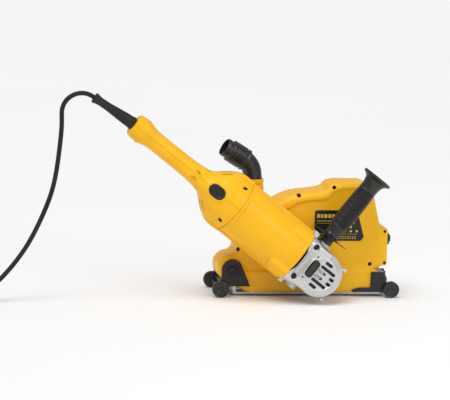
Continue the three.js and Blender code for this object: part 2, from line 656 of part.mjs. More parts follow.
function buildDustCollar() {
  const z0 = DUCT_TOP + GAP;
  const z1 = DUCT_TOP + COLLAR_HEIGHT;
  const inner = DUCT_BORE_RADIUS;
  const profile = [[inner, z0], [inner + 3.8, z0], [inner + 3.8, z0 + 3], [inner + 2.6, z0 + 4],
    [inner + 2.6, z0 + 9], [inner + 3.6, z0 + 10], [inner + 3.6, z1], [inner, z1], [inner, z0]];
  return alongZ(turned(profile)).translate(DUCT_BACK, 0, 0);
}

place(machine, 'shroud_shell_near', paint.yellow(), buildShroudShell(true));
place(machine, 'shroud_shell_far', paint.yellow(), buildShroudShell(false));
place(machine, 'label_plate', paint.black(), buildLabel());
place(machine, 'dust_collar', paint.yellow(), buildDustCollar());
place(machine, 'pivot_bush', paint.brass(),
  ringY(PIVOT_BOLT_RADIUS + GAP, PIVOT_BOLT_RADIUS + GAP + BUSH_WALL, -halfShroud, halfShroud, 24)
    .translate(PIVOT_BACK, 0, PIVOT_HEIGHT));
place(machine, 'return_spring', paint.steel(),
  ringY(DRUM_RADIUS - 10, DRUM_RADIUS - 6, -20, 20, 24).translate(PIVOT_BACK, 0, PIVOT_HEIGHT));
place(machine, 'depth_pointer', paint.charcoal(),
  block(SHROUD_FRONT + FLANGE_DEPTH + GAP, SHROUD_FRONT + FLANGE_DEPTH + 5.5, -34, -22, 96, 116));

// ---- Dust elbow and hose adapter ----

const swivel = ELBOW_SWIVEL * RAD;
const rise = ELBOW_RISE * RAD;
const outlet = new THREE.Vector3(-Math.cos(rise) * Math.cos(swivel), -Math.cos(rise) * Math.sin(swivel), Math.sin(rise));
const elbowCorner = new THREE.Vector3(DUCT_BACK, 0, ELBOW_CORNER_HEIGHT);
const elbowRadius = DUCT_BORE_RADIUS - GAP;

function alongOutlet(distance) {
  return elbowCorner.clone().addScaledVector(outlet, distance);
}

function buildElbow() {
  const bendStart = new THREE.Vector3(DUCT_BACK, 0, ELBOW_CORNER_HEIGHT - 14);
  const path = new THREE.CurvePath();
  path.add(new THREE.LineCurve3(new THREE.Vector3(DUCT_BACK, 0, DUCT_TOP + 1), bendStart));
  path.add(new THREE.QuadraticBezierCurve3(bendStart, elbowCorner, alongOutlet(14)));
  path.add(new THREE.LineCurve3(alongOutlet(14), alongOutlet(ELBOW_REACH - 18)));
  const section = new THREE.Shape();
  section.absarc(0, 0, elbowRadius, 0, 2 * Math.PI, false);
  const bore = new THREE.Path();
  bore.absarc(0, 0, elbowRadius - ELBOW_WALL, 0, 2 * Math.PI, true);
  section.holes.push(bore);
  return new THREE.ExtrudeGeometry(section, { steps: 9, curveSegments: 9, extrudePath: path });
}

function buildAdapter() {
  const inner = elbowRadius + GAP;
  const outer = inner + ADAPTER_WALL;
  const bore = elbowRadius - ELBOW_WALL;
  const start = 16;
  const step = ELBOW_REACH - 15;
  const ringed = [];
  for (let i = 0; i < 2; i += 1) {
    const at = start + i * 12;
    ringed.push([outer, at], [outer, at + 8], [outer - 1, at + 9], [outer - 1, at + 11]);
  }
  const profile = [[inner, start], ...ringed, [outer, start + 25], [outer, step], [elbowRadius - 0.5, step + 3],
    [elbowRadius - 0.5, ELBOW_REACH], [bore, ELBOW_REACH], [bore, step - 2], [inner, step - 2], [inner, start]];
  const sleeve = turned(profile, 20);
  const turn = new THREE.Quaternion().setFromUnitVectors(new THREE.Vector3(0, 1, 0), outlet);
  return sleeve.applyQuaternion(turn).translate(elbowCorner.x, elbowCorner.y, elbowCorner.z);
}

place(machine, 'dust_elbow', paint.black(), buildElbow());
place(machine, 'hose_adapter', paint.black(), buildAdapter());

// ---- Base ----

const bracketInner = halfShroud + 1.2;
const rollerOuter = TRACK_WIDTH / 2;
const rollerInner = rollerOuter - ROLLER_WIDTH;
const sides = [['near', -1], ['far', 1]];

function span(side, inner, outer) {
  return side < 0 ? [-outer, -inner] : [inner, outer];
}

function rearBracket(side) {
  const [y0, y1] = span(side, bracketInner, bracketInner + BRACKET_THICKNESS);
  const outline = [[PIVOT_BACK + 33, BRACKET_BOTTOM], ...arcPoints(PIVOT_BACK, PIVOT_HEIGHT, DRUM_RADIUS - 0.5, 40, 180, 10),
    [PIVOT_BACK - DRUM_RADIUS + 0.5, BRACKET_BOTTOM]];
  const arm = [[REAR_AXLE_BACK - 4, ROLLER_RADIUS + 6], [REAR_AXLE_BACK, ROLLER_RADIUS - 7.5],
    [PIVOT_BACK - 2, BRACKET_BOTTOM + 1], [PIVOT_BACK - DRUM_RADIUS + 1, BRACKET_BOTTOM + 14]];
  const body = join(plateY(outline, y0, y1), plateY(arm, y0, y1),
    rodY(7.5, y0, y1, REAR_AXLE_BACK, ROLLER_RADIUS, 20));
  return cut(
    body,
    rodY(AXLE_RADIUS + GAP, y0 - 1, y1 + 1, REAR_AXLE_BACK, ROLLER_RADIUS, 16),
    rodY(PIVOT_BOLT_RADIUS + GAP, y0 - 1, y1 + 1, PIVOT_BACK, PIVOT_HEIGHT, 16),
  );
}

function frontBracket(side) {
  const [y0, y1] = span(side, bracketInner, bracketInner + BRACKET_THICKNESS);
  const plate = block(FRONT_BLOCK_BACK, FRONT_BLOCK_AHEAD, y0, y1, 9, FRONT_BLOCK_TOP);
  const foot = block(FRONT_BLOCK_BACK - 35, FRONT_BLOCK_BACK + 1, y0, y1, 9, 17);
  const arm = [[FRONT_BLOCK_AHEAD - 8, 9], [FRONT_AXLE_AHEAD, ROLLER_RADIUS - 7.5],
    [FRONT_AXLE_AHEAD, ROLLER_RADIUS + 7.5], [FRONT_BLOCK_AHEAD - 2, 32], [FRONT_BLOCK_AHEAD - 8, 32]];
  const body = join(plate, foot, plateY(arm, y0, y1), rodY(7.5, y0, y1, FRONT_AXLE_AHEAD, ROLLER_RADIUS, 20));
  return cut(body, rodY(AXLE_RADIUS + GAP, y0 - 1, y1 + 1, FRONT_AXLE_AHEAD, ROLLER_RADIUS, 16));
}

function buildSole() {
  const top = SOLE_BOTTOM + SOLE_THICKNESS;
  const half = bracketInner - GAP;
  const rear = PIVOT_BACK + 9;
  const rails = sides.map(([, side]) => {
    const [y0, y1] = span(side, SOLE_HALF_WIDTH - SOLE_RAIL_WIDTH, SOLE_HALF_WIDTH);
    return block(rear - 3, FRONT_BLOCK_AHEAD, y0, y1, SOLE_BOTTOM, top);
  });
  const upstand = block(rear - 6, rear, -SOLE_HALF_WIDTH, SOLE_HALF_WIDTH, SOLE_BOTTOM, BRACKET_BOTTOM + 6);
  const shelf = block(rear - 26, rear, -half, half, BRACKET_BOTTOM, BRACKET_BOTTOM + 6);
  const front = block(FRONT_BLOCK_BACK, FRONT_BLOCK_AHEAD, -half, half, 9, FRONT_BLOCK_TOP);
  const frontFoot = block(FRONT_BLOCK_BACK, FRONT_BLOCK_AHEAD, -SOLE_HALF_WIDTH, SOLE_HALF_WIDTH, SOLE_BOTTOM, 10);
  const pocket = block(FRONT_BLOCK_BACK + 5, FRONT_BLOCK_AHEAD - 5, -half + 5, half - 5, SOLE_BOTTOM - 1, 20);
  return cut(
    join(upstand, ...rails, shelf, front, frontFoot),
    pocket,
    rodX(AXLE_RADIUS + GAP, FRONT_BLOCK_BACK + 4, FRONT_BLOCK_AHEAD + 1, 0, KNOB_HEIGHT, 16),
  );
}

function buildDepthGuide() {
  const start = Math.asin((FRONT_BLOCK_TOP + GAP - PIVOT_HEIGHT) / (GUIDE_RADIUS - GUIDE_THICKNESS / 2)) / RAD + 0.1;
  const outer = arcPoints(PIVOT_BACK, PIVOT_HEIGHT, GUIDE_RADIUS + GUIDE_THICKNESS / 2, start, GUIDE_SWEEP, 10);
  const inner = arcPoints(PIVOT_BACK, PIVOT_HEIGHT, GUIDE_RADIUS - GUIDE_THICKNESS / 2, GUIDE_SWEEP, start, 10);
  return plateY([...outer, ...inner], -GUIDE_WIDTH / 2, GUIDE_WIDTH / 2);
}

function buildPivotBolt() {
  const outer = bracketInner + BRACKET_THICKNESS;
  const head = 3.4;
  return turned([[0, -outer - GAP - head], [6.4, -outer - GAP - head], [6.4, -outer - GAP],
    [PIVOT_BOLT_RADIUS, -outer - GAP], [PIVOT_BOLT_RADIUS, outer + GAP], [6.4, outer + GAP],
    [6.4, outer + GAP + head], [0, outer + GAP + head]], 24).translate(PIVOT_BACK, 0, PIVOT_HEIGHT);
}

function buildKnob() {
  const lobes = [];
  for (let i = 0; i < 40; i += 1) {
    const angle = (2 * Math.PI * i) / 40;
    const radius = KNOB_RADIUS - 1.4 + 1.4 * Math.cos(5 * angle);
    lobes.push([radius * Math.cos(angle), radius * Math.sin(angle)]);
  }
  const head = plateY(lobes, 0, 9).rotateZ(-Math.PI / 2);
  const x0 = FRONT_BLOCK_AHEAD + GAP;
  return join(head.translate(x0, 0, KNOB_HEIGHT), rodX(AXLE_RADIUS, x0 - 16, x0 + 1, 0, KNOB_HEIGHT, 16));
}

place(machine, 'sole_plate', paint.charcoal(), buildSole());
for (const [label, side] of sides) {
  place(machine, `rear_bracket_${label}`, paint.charcoal(), rearBracket(side));
  place(machine, `front_bracket_${label}`, paint.charcoal(), frontBracket(side));
  for (const [end, at] of [['rear', REAR_AXLE_BACK], ['front', FRONT_AXLE_AHEAD]]) {
    const [y0, y1] = span(side, rollerInner, rollerOuter);
    place(machine, `${end}_roller_${label}`, paint.black(),
      ringY(AXLE_RADIUS + GAP, ROLLER_RADIUS, y0, y1, 24).translate(at, 0, ROLLER_RADIUS));
  }
}
place(machine, 'rear_axle', paint.steel(),
  rodY(AXLE_RADIUS, -rollerOuter - 1, rollerOuter + 1, REAR_AXLE_BACK, ROLLER_RADIUS, 16));
place(machine, 'front_axle', paint.steel(),
  rodY(AXLE_RADIUS, -rollerOuter - 1, rollerOuter + 1, FRONT_AXLE_AHEAD, ROLLER_RADIUS, 16));
place(machine, 'pivot_bolt', paint.steel(), buildPivotBolt());
place(machine, 'depth_guide', paint.steel(), buildDepthGuide());
place(machine, 'depth_lock_knob', paint.black(), buildKnob());

// ---- Cord ----

// The hanging stretch, from the strain relief's tip to the coil, as [X, Y, Z].
const cordRoute = [
  [-423.9, -92, 369.2], [-433.5, -92, 368.7], [-442.7, -92, 365.6], [-450.8, -92, 360.3],
  [-457.2, -92, 353], [-461.2, -92, 345], [-463.1, -92, 337.5], [-465.2, -92, 314], [-467.6, -92, 286],
  [-470.2, -92, 258], [-473.4, -92, 231], [-478, -92, 206], [-484.6, -92, 183], [-493, -92, 161],
  [-502.6, -92, 139], [-513, -93, 117], [-525.6, -94, 95], [-541, -95, 73], [-559, -96.4, 51],
  [-579, -98.6, 31], [-600, -101, 14.5], [-619, -103.4, 6], [-636, -103.6, 4.4],
];

function buildCordTube() {
  const along = GUARD_DROOP * RAD;
  const tip = new THREE.Vector3(HANDLE_END + (GUARD_LENGTH + GAP) * Math.cos(along), 0,
    -(GUARD_LENGTH + GAP) * Math.sin(along));
  const lead = tip.clone().add(new THREE.Vector3(5 * Math.cos(along), 0, -5 * Math.sin(along)));
  grinder.updateMatrixWorld(true);
  const points = [grinder.localToWorld(tip), grinder.localToWorld(lead)];
  for (const point of cordRoute) {
    points.push(new THREE.Vector3(...point));
  }
  const section = new THREE.Shape();
  section.absarc(0, 0, CORD_RADIUS, 0, 2 * Math.PI, false);
  const path = new THREE.CatmullRomCurve3(points, false, 'centripetal');
  return new THREE.ExtrudeGeometry(section, { steps: 44, curveSegments: 5, extrudePath: path });
}

function buildCoil() {
  const halfWide = COIL_COLUMNS * CORD_RADIUS;
  const height = 2 * COIL_LAYERS * CORD_RADIUS;
  const ring = ringY(COIL_RADIUS - halfWide, COIL_RADIUS + halfWide, 0, height, 32);
  return alongZ(ring).translate(COIL_AT[0], COIL_AT[1], 0);
}

function buildPlug() {
  const low = 2 * COIL_LAYERS * CORD_RADIUS + GAP;
  const body = turned([[0, -30], [6, -30], [9, -14], [PLUG_RADIUS, -8], [PLUG_RADIUS, 18], [PLUG_RADIUS - 1.5, 20],
    [0, 20]], 24);
  const pins = [-1, 1].map((s) => rodY(2.4, 19, 39, s * 9.5, 0, 12));
  return join(body, ...pins).translate(COIL_AT[0] - COIL_RADIUS, COIL_AT[1], low + PLUG_RADIUS);
}

place(machine, 'cord_tube', paint.rubber(), buildCordTube());
place(machine, 'cord_coil', paint.rubber(), buildCoil());
place(machine, 'cord_plug', paint.black(), buildPlug());

// The origin stands under the middle of the machine without its cord, on the floor.
machine.updateMatrixWorld(true);
const extent = new THREE.Box3();
machine.traverse((piece) => {
  if (piece.isMesh && !CORD_NAMES.includes(piece.name)) {
    extent.expandByObject(piece, true);
  }
});
const centre = extent.getCenter(new THREE.Vector3());
machine.position.set(-centre.x, -centre.y, -extent.min.z);
machine.updateMatrixWorld(true);

const group = new THREE.Group();
group.add(machine);
export default group;
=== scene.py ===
"""The looks of a wall chaser: an angle grinder clamped to a dust shroud that plunges on a roller base.

Shapes are worked out in millimetres in one of two drawing frames and then placed in metres:
MACHINE has X = 0 on the spindle, Y = 0 in the shroud's middle and Z = 0 on the floor;
GRINDER has X back along the motor, Y away from the shroud and Z to the grinder's upper side.
"""

import json
import math

import bmesh
import bpy
from bpy.props import FloatProperty, FloatVectorProperty, IntProperty, PointerProperty
from mathutils import Matrix, Vector
from mathutils.geometry import intersect_line_line_2d


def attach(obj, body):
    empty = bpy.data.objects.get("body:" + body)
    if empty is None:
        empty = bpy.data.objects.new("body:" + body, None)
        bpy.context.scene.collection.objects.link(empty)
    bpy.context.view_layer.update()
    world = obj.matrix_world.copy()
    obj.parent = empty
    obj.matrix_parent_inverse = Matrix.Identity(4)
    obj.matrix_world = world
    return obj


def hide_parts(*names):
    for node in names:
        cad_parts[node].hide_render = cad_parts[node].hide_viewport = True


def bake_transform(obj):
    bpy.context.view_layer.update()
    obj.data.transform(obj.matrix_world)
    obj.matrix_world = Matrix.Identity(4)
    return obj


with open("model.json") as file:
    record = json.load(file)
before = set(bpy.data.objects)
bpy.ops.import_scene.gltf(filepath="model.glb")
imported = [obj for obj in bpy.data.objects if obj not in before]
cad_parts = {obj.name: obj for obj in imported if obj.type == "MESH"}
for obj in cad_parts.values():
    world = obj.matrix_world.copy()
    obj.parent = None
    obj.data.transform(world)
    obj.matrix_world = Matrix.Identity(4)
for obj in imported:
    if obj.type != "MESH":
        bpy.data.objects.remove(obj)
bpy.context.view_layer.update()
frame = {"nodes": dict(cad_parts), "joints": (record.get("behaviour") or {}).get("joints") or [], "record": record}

bl_info = {
    "name": "Wall chaser",
    "version": (1, 0, 0),
    "blender": (4, 5, 0),
    "location": "View3D > Sidebar > Chaser",
    "description": "Builds the visual model of a wall chaser around its packed frame",
    "category": "Object",
}

MM = 0.001
JOINTS = {joint["name"]: joint for joint in frame["joints"]}
SPINDLE = Vector(JOINTS["spindle_spin"]["pos_m"])
MOTOR_BACK = Vector(JOINTS["armature_spin"]["axis"])
AWAY = Vector(JOINTS["spindle_spin"]["axis"])
MID_PLANE = JOINTS["plunge"]["pos_m"][1]


def placing(origin, x_axis, y_axis):
    """The matrix from millimetres in a drawing frame to metres in the row frame."""
    x, y = x_axis.normalized(), y_axis.normalized()
    turn = Matrix((x, y, x.cross(y))).transposed().to_4x4()
    return Matrix.Translation(origin) @ turn @ Matrix.Scale(MM, 4)


MACHINE = placing(Vector((SPINDLE.x, MID_PLANE, 0)), Vector((1, 0, 0)), Vector((0, 1, 0)))
GRINDER = placing(SPINDLE, MOTOR_BACK, AWAY)

# ---- Sizes of the frame that the looks are built around, in millimetres ----
PIVOT = (-143.0, 48.5)
DRUM_RADIUS = 20.0
SHROUD_HALF = 38.0
DUCT_X = -105.0
DUCT_TOP = 195.3
ELBOW_CORNER = Vector((DUCT_X, 0, 235.8))
ELBOW_RISE = math.radians(31.5)
ELBOW_SWIVEL = math.radians(8.3)
OUTLET = Vector((-math.cos(ELBOW_RISE) * math.cos(ELBOW_SWIVEL),
                 -math.cos(ELBOW_RISE) * math.sin(ELBOW_SWIVEL), math.sin(ELBOW_RISE)))
BRACKET_IN = 39.2
BRACKET_OUT = 45.0
REAR_AXLE = (-165.5, 15.0)
FRONT_AXLE = (150.5, 15.0)
ROLLER_IN = 46.0
ROLLER_OUT = 55.0
GEARCASE_TOP = 44.0
GEARCASE_BOTTOM = -30.0
HOUSING_END = 190.7
HOUSING_RADIUS = 51.0
HANDLE_END = 428.0
SIDE_AXIS = (19.0, -2.0)
GUARD_DROOP = math.radians(4.8)


# ==== Mesh tools ====

def solid(verts, faces):
    """A mesh with its faces turned outwards."""
    mesh = bpy.data.meshes.new("draft")
    mesh.from_pydata([tuple(v) for v in verts], [], faces)
    shape = bmesh.new()
    shape.from_mesh(mesh)
    bmesh.ops.remove_doubles(shape, verts=shape.verts, dist=1e-5)
    bmesh.ops.recalc_face_normals(shape, faces=shape.faces)
    shape.to_mesh(mesh)
    shape.free()
    return mesh


def loft(rings, loop=False):
    """A skin over rings with equal numbers of points; its ends are closed unless the rings meet in a loop."""
    count = len(rings[0])
    faces = []
    for i in range(len(rings) if loop else len(rings) - 1):
        a, b = i * count, (i + 1) % len(rings) * count
        for k in range(count):
            n = (k + 1) % count
            faces.append((a + k, a + n, b + n, b + k))
    if not loop:
        last = (len(rings) - 1) * count
        faces += [tuple(range(count)), tuple(range(last, last + count))]
    return solid([p for ring in rings for p in ring], faces)


def on_axis(axis, along, u, v):
    """A point from its place along an axis and across it."""
    return {"X": (along, u, v), "Y": (u, along, v), "Z": (u, v, along)}[axis]


def turned(profile, axis="Z", at=(0.0, 0.0), steps=64, loop=False):
    """A body of revolution from (radius, along) points; at is where its axis crosses the other two."""
    angles = [2 * math.pi * k / steps for k in range(steps)]
    rings = [[on_axis(axis, along, at[0] + max(radius, 0.02) * math.cos(a),
                      at[1] + max(radius, 0.02) * math.sin(a)) for a in angles]
             for radius, along in profile]
    return loft(rings, loop)


def inset(outline, distance):
    """The outline moved inwards with mitred corners; where points would cross over they run into
    one corner."""
    area = sum(a[0] * b[1] - b[0] * a[1] for a, b in zip(outline, outline[1:] + outline[:1]))
    side = 1 if area > 0 else -1
    moved = []
    for before, here, after in zip(outline[-1:] + outline[:-1], outline, outline[1:] + outline[:1]):
        a = Vector(here) - Vector(before)
        b = Vector(after) - Vector(here)
        na = Vector((-a.y, a.x)).normalized() * side
        nb = Vector((-b.y, b.x)).normalized() * side
        both = (na + nb) / max(1 + na.dot(nb), 0.3)
        moved.append(Vector(here) + both * distance)
    count = len(moved)
    good = [clearance(point, outline) > 0.97 * distance for point in moved]
    if distance and any(good) and not all(good):
        for first in range(count):
            if good[first] or not good[first - 1]:
                continue
            last = first
            while not good[(last + 1) % count]:
                last += 1
            before, after = moved[first - 1], moved[(last + 1) % count]
            a = Vector(outline[first]) - Vector(outline[first - 1])
            b = Vector(outline[last % count]) - Vector(outline[(last + 1) % count])
            corner = intersect_line_line_2d(before, before + a * 500, after, after + b * 500)
            if not corner or max((corner - before).length,
                                 (corner - after).length) > 1.4 * (after - before).length:
                corner = (before + after) / 2
            for k in range(first, last + 1):
                moved[k % count] = corner
    return [tuple(point) for point in moved]


def clearance(point, outline):
    """The distance from a point to the nearest side of an outline."""
    nearest = math.inf
    for a, b in zip(outline, outline[1:] + outline[:1]):
        ax, ay, dx, dy = a[0], a[1], b[0] - a[0], b[1] - a[1]
        t = ((point.x - ax) * dx + (point.y - ay) * dy) / max(dx * dx + dy * dy, 1e-12)
        t = min(max(t, 0.0), 1.0)
        nearest = min(nearest, math.hypot(point.x - ax - t * dx, point.y - ay - t * dy))
    return nearest


def rounded(points, radii, steps=5):
    """A closed outline with its corners turned into arcs; radii is one number or one for each corner."""
    if not hasattr(radii, "__len__"):
        radii = [radii] * len(points)
    result = []
    for i, corner in enumerate(points):
        here = Vector(corner)
        to_before = Vector(points[i - 1]) - here
        to_after = Vector(points[(i + 1) % len(points)]) - here
        a, b = to_before.normalized(), to_after.normalized()
        half = a.angle(b, math.pi) / 2
        if radii[i] <= 0 or half > math.radians(89):
            result.append(tuple(here))
            continue
        reach = min(radii[i] / math.tan(half), 0.49 * to_before.length, 0.49 * to_after.length)
        radius = reach * math.tan(half)
        centre = here + (a + b).normalized() * (radius / math.sin(half))
        start = here + a * reach - centre
        sweep = start.angle_signed(here + b * reach - centre)
        for k in range(steps + 1):
            spoke = Matrix.Rotation(-sweep * k / steps, 2) @ start
            result.append(tuple(centre + spoke))
    return result


def closer(outline, spacing):
    """The outline with points added along its long sides."""
    result = []
    for a, b in zip(outline, outline[1:] + outline[:1]):
        parts = max(1, math.ceil(math.dist(a, b) / spacing))
        result += [(a[0] + (b[0] - a[0]) * k / parts, a[1] + (b[1] - a[1]) * k / parts) for k in range(parts)]
    return result


def slab(outline, low, high, axis="Y", low_round=0.0, high_round=0.0, steps=4):
    """The outline drawn out along an axis from low to high, with its two edges rounded."""
    if max(low_round, high_round) > 4:
        outline = closer(outline, 4.0)
    levels = []
    for k in range(steps + 1 if low_round else 1):
        angle = math.pi / 2 * k / steps
        levels.append((low_round * (1 - math.sin(angle)), low + low_round * (1 - math.cos(angle))))
    for k in range(steps + 1 if high_round else 1):
        angle = math.pi / 2 * (1 - k / steps)
        levels.append((high_round * (1 - math.sin(angle)), high - high_round * (1 - math.cos(angle))))
    return loft([[on_axis(axis, level, u, v) for u, v in inset(outline, depth)] for depth, level in levels])


def block(x0, x1, y0, y1, z0, z1, edge=0.0):
    """A box with its upright edges and rims rounded."""
    corners = [(x0, z0), (x1, z0), (x1, z1), (x0, z1)]
    return slab(rounded(corners, edge) if edge else corners, y0, y1, "Y", edge * 0.9, edge * 0.9)


def rod(start, end, radius, steps=32):
    """A plain round bar between two points."""
    start, end = Vector(start), Vector(end)
    turn = (end - start).to_track_quat("Z", "Y").to_matrix()
    spokes = [turn @ Vector((radius * math.cos(2 * math.pi * k / steps),
                             radius * math.sin(2 * math.pi * k / steps), 0)) for k in range(steps)]
    return loft([[place + spoke for spoke in spokes] for place in (start, end)])


def stadium(cx, cy, length, width, steps=12):
    """A slot-shaped outline, long in the first direction."""
    reach, radius = (length - width) / 2, width / 2
    points = []
    for side, first in ((1, -90), (-1, 90)):
        for k in range(steps + 1):
            angle = math.radians(first + 180 * k / steps)
            points.append((cx + side * reach + radius * math.cos(angle), cy + radius * math.sin(angle)))
    return points


def arc(centre, radius, first, last, steps):
    """Points on an arc, with its angles in degrees."""
    turns = [math.radians(first + (last - first) * k / steps) for k in range(steps + 1)]
    return [(centre[0] + radius * math.cos(a), centre[1] + radius * math.sin(a)) for a in turns]


def draft(mesh):
    piece = bpy.data.objects.new("draft", mesh)
    bpy.context.scene.collection.objects.link(piece)
    return piece


def applied(piece, *helpers):
    """The mesh of a draft object with its modifiers applied; the drafts are removed."""
    graph = bpy.context.evaluated_depsgraph_get()
    mesh = bpy.data.meshes.new_from_object(piece.evaluated_get(graph))
    for thing in (piece, *helpers):
        old = thing.data
        bpy.data.objects.remove(thing)
        bpy.data.meshes.remove(old)
    return mesh


def combine(operation, base, tools):
    """base joined with, cut by or kept inside each of the tools in turn."""
    body, helpers = draft(base), []
    for tool in tools:
        helper = draft(tool)
        change = body.modifiers.new("shape", "BOOLEAN")
        change.operation, change.solver, change.object = operation, "MANIFOLD", helper
        helpers.append(helper)
    return applied(body, *helpers)


def join(base, *tools):
    return combine("UNION", base, tools)


def carve(base, *tools):
    return combine("DIFFERENCE", base, tools)


def keep(base, *tools):
    return combine("INTERSECT", base, tools)


def moulded(mesh, voxel, rounds):
    """The mesh remade in small even faces with its edges and corners run together, as a casting's are."""
    body = draft(mesh)
    remesh = body.modifiers.new("remesh", "REMESH")
    remesh.mode, remesh.voxel_size = "VOXEL", voxel
    soften = body.modifiers.new("soften", "SMOOTH")
    soften.factor, soften.iterations = 0.5, rounds
    return applied(body)


def together(*meshes):
    """Separate shells in one mesh."""
    shape = bmesh.new()
    for mesh in meshes:
        shape.from_mesh(mesh)
        bpy.data.meshes.remove(mesh)
    mesh = bpy.data.meshes.new("draft")
    shape.to_mesh(mesh)
    shape.free()
    return mesh


def mirrored(mesh, axis):
    """A copy of the mesh on the other side of a plane through the origin."""
    copy = mesh.copy()
    copy.transform(Matrix.Scale(-1, 4, Vector(on_axis(axis, 1, 0, 0))))
    copy.flip_normals()
    return copy


def ease(value, start, end):
    """0 before start, 1 after end, and a smooth step between."""
    t = min(max((value - start) / (end - start), 0.0), 1.0)
    return t * t * (3 - 2 * t)


def smooth_path(points, spacing):
    """Evenly spaced points on a centripetal curve through the given ones."""
    points = [Vector(p) for p in points]
    padded = [2 * points[0] - points[1], *points, 2 * points[-1] - points[-2]]
    fine = []
    for p0, p1, p2, p3 in zip(padded, padded[1:], padded[2:], padded[3:]):
        t1 = (p1 - p0).length ** 0.5
        t2 = t1 + (p2 - p1).length ** 0.5
        t3 = t2 + (p3 - p2).length ** 0.5
        for k in range(24):
            t = t1 + (t2 - t1) * k / 24
            a1 = p0.lerp(p1, t / t1)
            a2 = p1.lerp(p2, (t - t1) / (t2 - t1))
            a3 = p2.lerp(p3, (t - t2) / (t3 - t2))
            b1 = a1.lerp(a2, t / t2)
            b2 = a2.lerp(a3, (t - t1) / (t3 - t1))
            fine.append(b1.lerp(b2, (t - t1) / (t2 - t1)))
    fine.append(points[-1])
    return evenly(fine, spacing)


def evenly(points, spacing):
    """The same line with its points moved to even steps."""
    lengths = [0.0]
    for a, b in zip(points, points[1:]):
        lengths.append(lengths[-1] + (b - a).length)
    count = max(2, round(lengths[-1] / spacing))
    result, at = [], 0
    for k in range(count + 1):
        goal = lengths[-1] * k / count
        while at < len(points) - 2 and lengths[at + 1] < goal:
            at += 1
        span = lengths[at + 1] - lengths[at]
        result.append(points[at].lerp(points[at + 1], (goal - lengths[at]) / span if span else 0))
    return result


def tube(path, radius, steps=16):
    """A round section carried along a path without twist; radius is a number or a function of the
    point's index."""
    rings, normal = [], None
    for i, point in enumerate(path):
        ahead = (path[min(i + 1, len(path) - 1)] - path[max(i - 1, 0)]).normalized()
        if normal is None:
            normal = ahead.orthogonal().normalized()
        normal = (normal - ahead * normal.dot(ahead)).normalized()
        across = ahead.cross(normal)
        r = radius(i) if callable(radius) else radius
        rings.append([point + (normal * math.cos(2 * math.pi * k / steps)
                               + across * math.sin(2 * math.pi * k / steps)) * r for k in range(steps)])
    return loft(rings)


def add_piece(name, mesh, place, body, material, replaces=(), sharp=32):
    """Puts a finished mesh in the row frame as a named piece that rides on a body."""
    mesh.transform(place)
    mesh.name = name
    mesh.shade_smooth()
    mesh.set_sharp_from_angle(angle=math.radians(sharp))
    mesh.materials.clear()
    mesh.materials.append(material)
    piece = bpy.data.objects.new(name, mesh)
    bpy.context.scene.collection.objects.link(piece)
    if body:
        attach(piece, body)
    if replaces:
        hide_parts(*replaces)
    return piece


# ==== Shader groups and materials ====

def add_node(tree, kind, inputs=None, **settings):
    """A node with its settings, and each input set to a value or linked to a socket."""
    node = tree.nodes.new(kind)
    for name, value in settings.items():
        setattr(node, name, value)
    for name, value in (inputs or {}).items():
        if isinstance(value, bpy.types.NodeSocket):
            tree.links.new(value, node.inputs[name])
        else:
            node.inputs[name].default_value = value
    return node


def new_group(name, inputs, outputs):
    """An empty shader group with named sockets: (name, type, default) in, (name, type) out."""
    tree = bpy.data.node_groups.new(name, "ShaderNodeTree")
    for label, kind, default in inputs:
        tree.interface.new_socket(label, in_out="INPUT", socket_type=kind).default_value = default
    for label, kind in outputs:
        tree.interface.new_socket(label, in_out="OUTPUT", socket_type=kind)
    return tree, tree.nodes.new("NodeGroupInput"), tree.nodes.new("NodeGroupOutput")


def build_fine_grain():
    """The height of moulded or cast grain: rounded pebbles with a finer noise over them."""
    tree, given, result = new_group(
        "fine_grain",
        [("Size", "NodeSocketFloat", 0.0008), ("Roughness", "NodeSocketFloat", 0.5)],
        [("Height", "NodeSocketFloat")])
    place = add_node(tree, "ShaderNodeTexCoord")
    scale = add_node(tree, "ShaderNodeMath", {0: 1.0, 1: given.outputs["Size"]}, operation="DIVIDE")
    pebbles = add_node(tree, "ShaderNodeTexVoronoi",
                       {"Vector": place.outputs["Object"], "Scale": scale.outputs[0]}, feature="SMOOTH_F1")
    noise = add_node(tree, "ShaderNodeTexNoise",
                     {"Vector": place.outputs["Object"], "Scale": scale.outputs[0], "Detail": 3.0,
                      "Roughness": given.outputs["Roughness"]})
    both = add_node(tree, "ShaderNodeMath",
                    {0: pebbles.outputs["Distance"], 1: noise.outputs["Fac"]}, operation="ADD")
    tree.links.new(both.outputs[0], result.inputs["Height"])
    return tree


def build_colour_drift():
    """A colour that wanders slowly towards a second one over the surface."""
    tree, given, result = new_group(
        "colour_drift",
        [("Colour", "NodeSocketColor", (1, 1, 1, 1)), ("Towards", "NodeSocketColor", (1, 1, 1, 1)),
         ("Spread", "NodeSocketFloat", 0.05)],
        [("Colour", "NodeSocketColor"), ("Mask", "NodeSocketFloat")])
    place = add_node(tree, "ShaderNodeTexCoord")
    scale = add_node(tree, "ShaderNodeMath", {0: 1.0, 1: given.outputs["Spread"]}, operation="DIVIDE")
    clouds = add_node(tree, "ShaderNodeTexNoise",
                      {"Vector": place.outputs["Object"], "Scale": scale.outputs[0], "Detail": 4.0})
    mask = add_node(tree, "ShaderNodeMapRange",
                    {"Value": clouds.outputs["Fac"], "From Min": 0.32, "From Max": 0.7})
    mixed = add_node(tree, "ShaderNodeMix",
                     {0: mask.outputs["Result"], 6: given.outputs["Colour"], 7: given.outputs["Towards"]},
                     data_type="RGBA")
    tree.links.new(mixed.outputs[2], result.inputs["Colour"])
    tree.links.new(mask.outputs["Result"], result.inputs["Mask"])
    return tree


